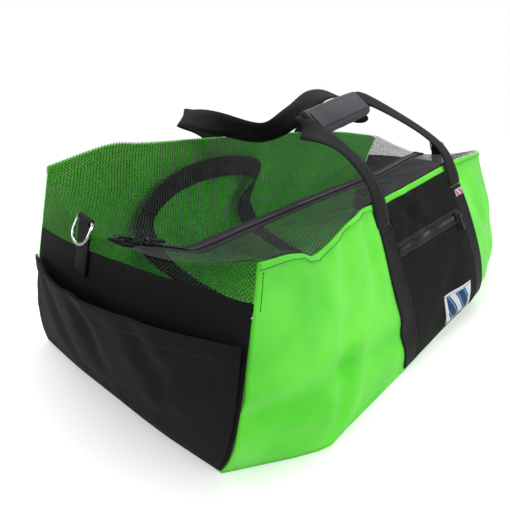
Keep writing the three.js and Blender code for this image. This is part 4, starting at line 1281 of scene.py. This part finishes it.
def bar_tack(name, node, base, finish, rows=5, lift=0.0036):
    """Close bars across a strap, at the top of its sewn leg."""
    left, right = line_on(node, 0.08, 2, 0)[-1], line_on(node, 0.92, 2, 0)[-1]
    below = line_on(node, 0.5, 2, 0)[-2]
    rise = ((left + right) / 2 - below).normalized()
    places = []
    for row in range(rows):
        offset = rise * (0.0012 * (row - rows / 2 + 0.5) - TACK_BELOW)
        for i in range(12):
            point = left.lerp(right, (i + 0.5) / 12) + offset
            up = direction_away(base, point)
            across = (right - left).normalized()
            lean = (across + rise * (0.3 if row % 2 else -0.3)).normalized()
            places.append((base.put(point, lift), up.cross(lean).normalized(), lean, up))
    made = bars(name, places, (right - left).length / 12, 0.0009, 0.0009)
    return dress(made, finish, "bag", "webbing")


for side, base in (("front", FRONT_BASE), ("back", BACK_BASE)):
    for leg in ("near", "far"):
        bar_tack(f"{side}_{leg}_bar_tack", f"{side}_handle_sewn_{leg}", base, THREAD)
print("stitching done")

# %% [markdown]
# ## Flat sizes of the soft pieces
#
# Each panel is given an estimated flat size, and the share of it that the panel's area covers is printed.
# The sizes are estimates from the panels' extents, width by height, so a panel that tapers covers less than
# its flat size.

# %% Sheets
SHEETS = {
    "front_wall_cloth": (0.93, 0.30), "back_wall_cloth": (0.92, 0.33), "floor_cloth": (0.87, 0.46),
    "near_end_cloth": (0.44, 0.27), "far_end_cloth": (0.31, 0.19),
    "near_pocket_cloth": (0.44, 0.22), "far_pocket_cloth": (0.30, 0.15),
    "net_top_front": (0.90, 0.19), "net_top_back": (0.90, 0.20),
}
for name, flat in SHEETS.items():
    made = bpy.data.objects[name]
    area = sum(face.area for face in made.data.polygons) / 2
    print(name, "area share", round(area / (flat[0] * flat[1]), 2))

# %% [markdown]
# ## Floor, background and light
#
# The bag stands on a white sweep. One large soft light hangs over it and a weaker one stands on the
# camera's side, so the black cloth keeps its folds and the shadow stays soft and close to the bag.

# %% Studio
SWEEP_GLOW = 0.34
FADE_START = 0.60
FADE_LENGTH = 0.60


def white_sweep():
    finish, tree, shader = new_finish("white_sweep", 0.9)
    shader.inputs["Base Color"].default_value = (0.86, 0.86, 0.86, 1)
    rays = add(tree, "ShaderNodeLightPath")
    seen = math_node(tree, "MAXIMUM", rays.outputs["Is Camera Ray"], rays.outputs["Is Transmission Ray"])
    glow = math_node(tree, "MULTIPLY", seen, SWEEP_GLOW)
    shader.inputs["Emission Color"].default_value = (1, 1, 1, 1)
    tree.links.new(glow, shader.inputs["Emission Strength"])
    place = add(tree, "ShaderNodeTexCoord")
    length = add(tree, "ShaderNodeVectorMath", operation="LENGTH")
    tree.links.new(place.outputs["Object"], length.inputs[0])
    past = math_node(tree, "SUBTRACT", length.outputs["Value"], FADE_START)
    far_share = math_node(tree, "DIVIDE", past, FADE_LENGTH)
    held = math_node(tree, "MINIMUM", math_node(tree, "MAXIMUM", far_share, 0.0), 1.0)
    kept = math_node(tree, "SUBTRACT", 1.0, held)
    tree.links.new(kept, shader.inputs["Alpha"])
    return finish



floor_bm = bmesh.new()
bmesh.ops.create_grid(floor_bm, x_segments=1, y_segments=1, size=30)
floor = as_object(floor_bm, "studio_floor")
floor.data.materials.append(white_sweep())
floor.location.z = CAD_BOX[0][2] - 0.0004

world = bpy.data.worlds.new("studio")
bpy.context.scene.world = world
world.use_nodes = True
sky = world.node_tree
backdrop = sky.nodes["Background"]
rays = add(sky, "ShaderNodeLightPath")
shown = math_node(sky, "MAXIMUM", rays.outputs["Is Camera Ray"], rays.outputs["Is Transmission Ray"])
backdrop.inputs["Color"].default_value = (1, 1, 1, 1)
WORLD_LIGHT = 0.42
strength = math_node(sky, "ADD", math_node(sky, "MULTIPLY", shown, 1.0 - WORLD_LIGHT), WORLD_LIGHT)
sky.links.new(strength, backdrop.inputs["Strength"])


def softbox(name, place, target, size, power):
    light = bpy.data.lights.new(name, "AREA")
    light.shape = "RECTANGLE"
    light.size, light.size_y = size
    light.energy = power
    lamp = bpy.data.objects.new(name, light)
    lamp.location = place
    lamp.rotation_mode = "QUATERNION"
    lamp.rotation_quaternion = (Vector(place) - Vector(target)).to_track_quat("Z", "Y")
    bpy.context.scene.collection.objects.link(lamp)


softbox("overhead", (0.2, 0.3, 2.1), (0, 0, 0.1), (2.6, 1.8), 34)
softbox("front_fill", (0.5, -2.3, 1.3), (0, -0.1, 0.15), (1.8, 1.2), 22)
softbox("rim_left", (-2.2, 0.7, 1.1), (-0.2, 0, 0.2), (1.0, 1.0), 14)

scene = bpy.context.scene
scene.view_settings.view_transform = "Standard"
print("studio ready")

# %% [markdown]
# ## Closing the frame
#
# The last step prints the frame's box.

# %% Sizes and finish
print("frame box", CAD_BOX)
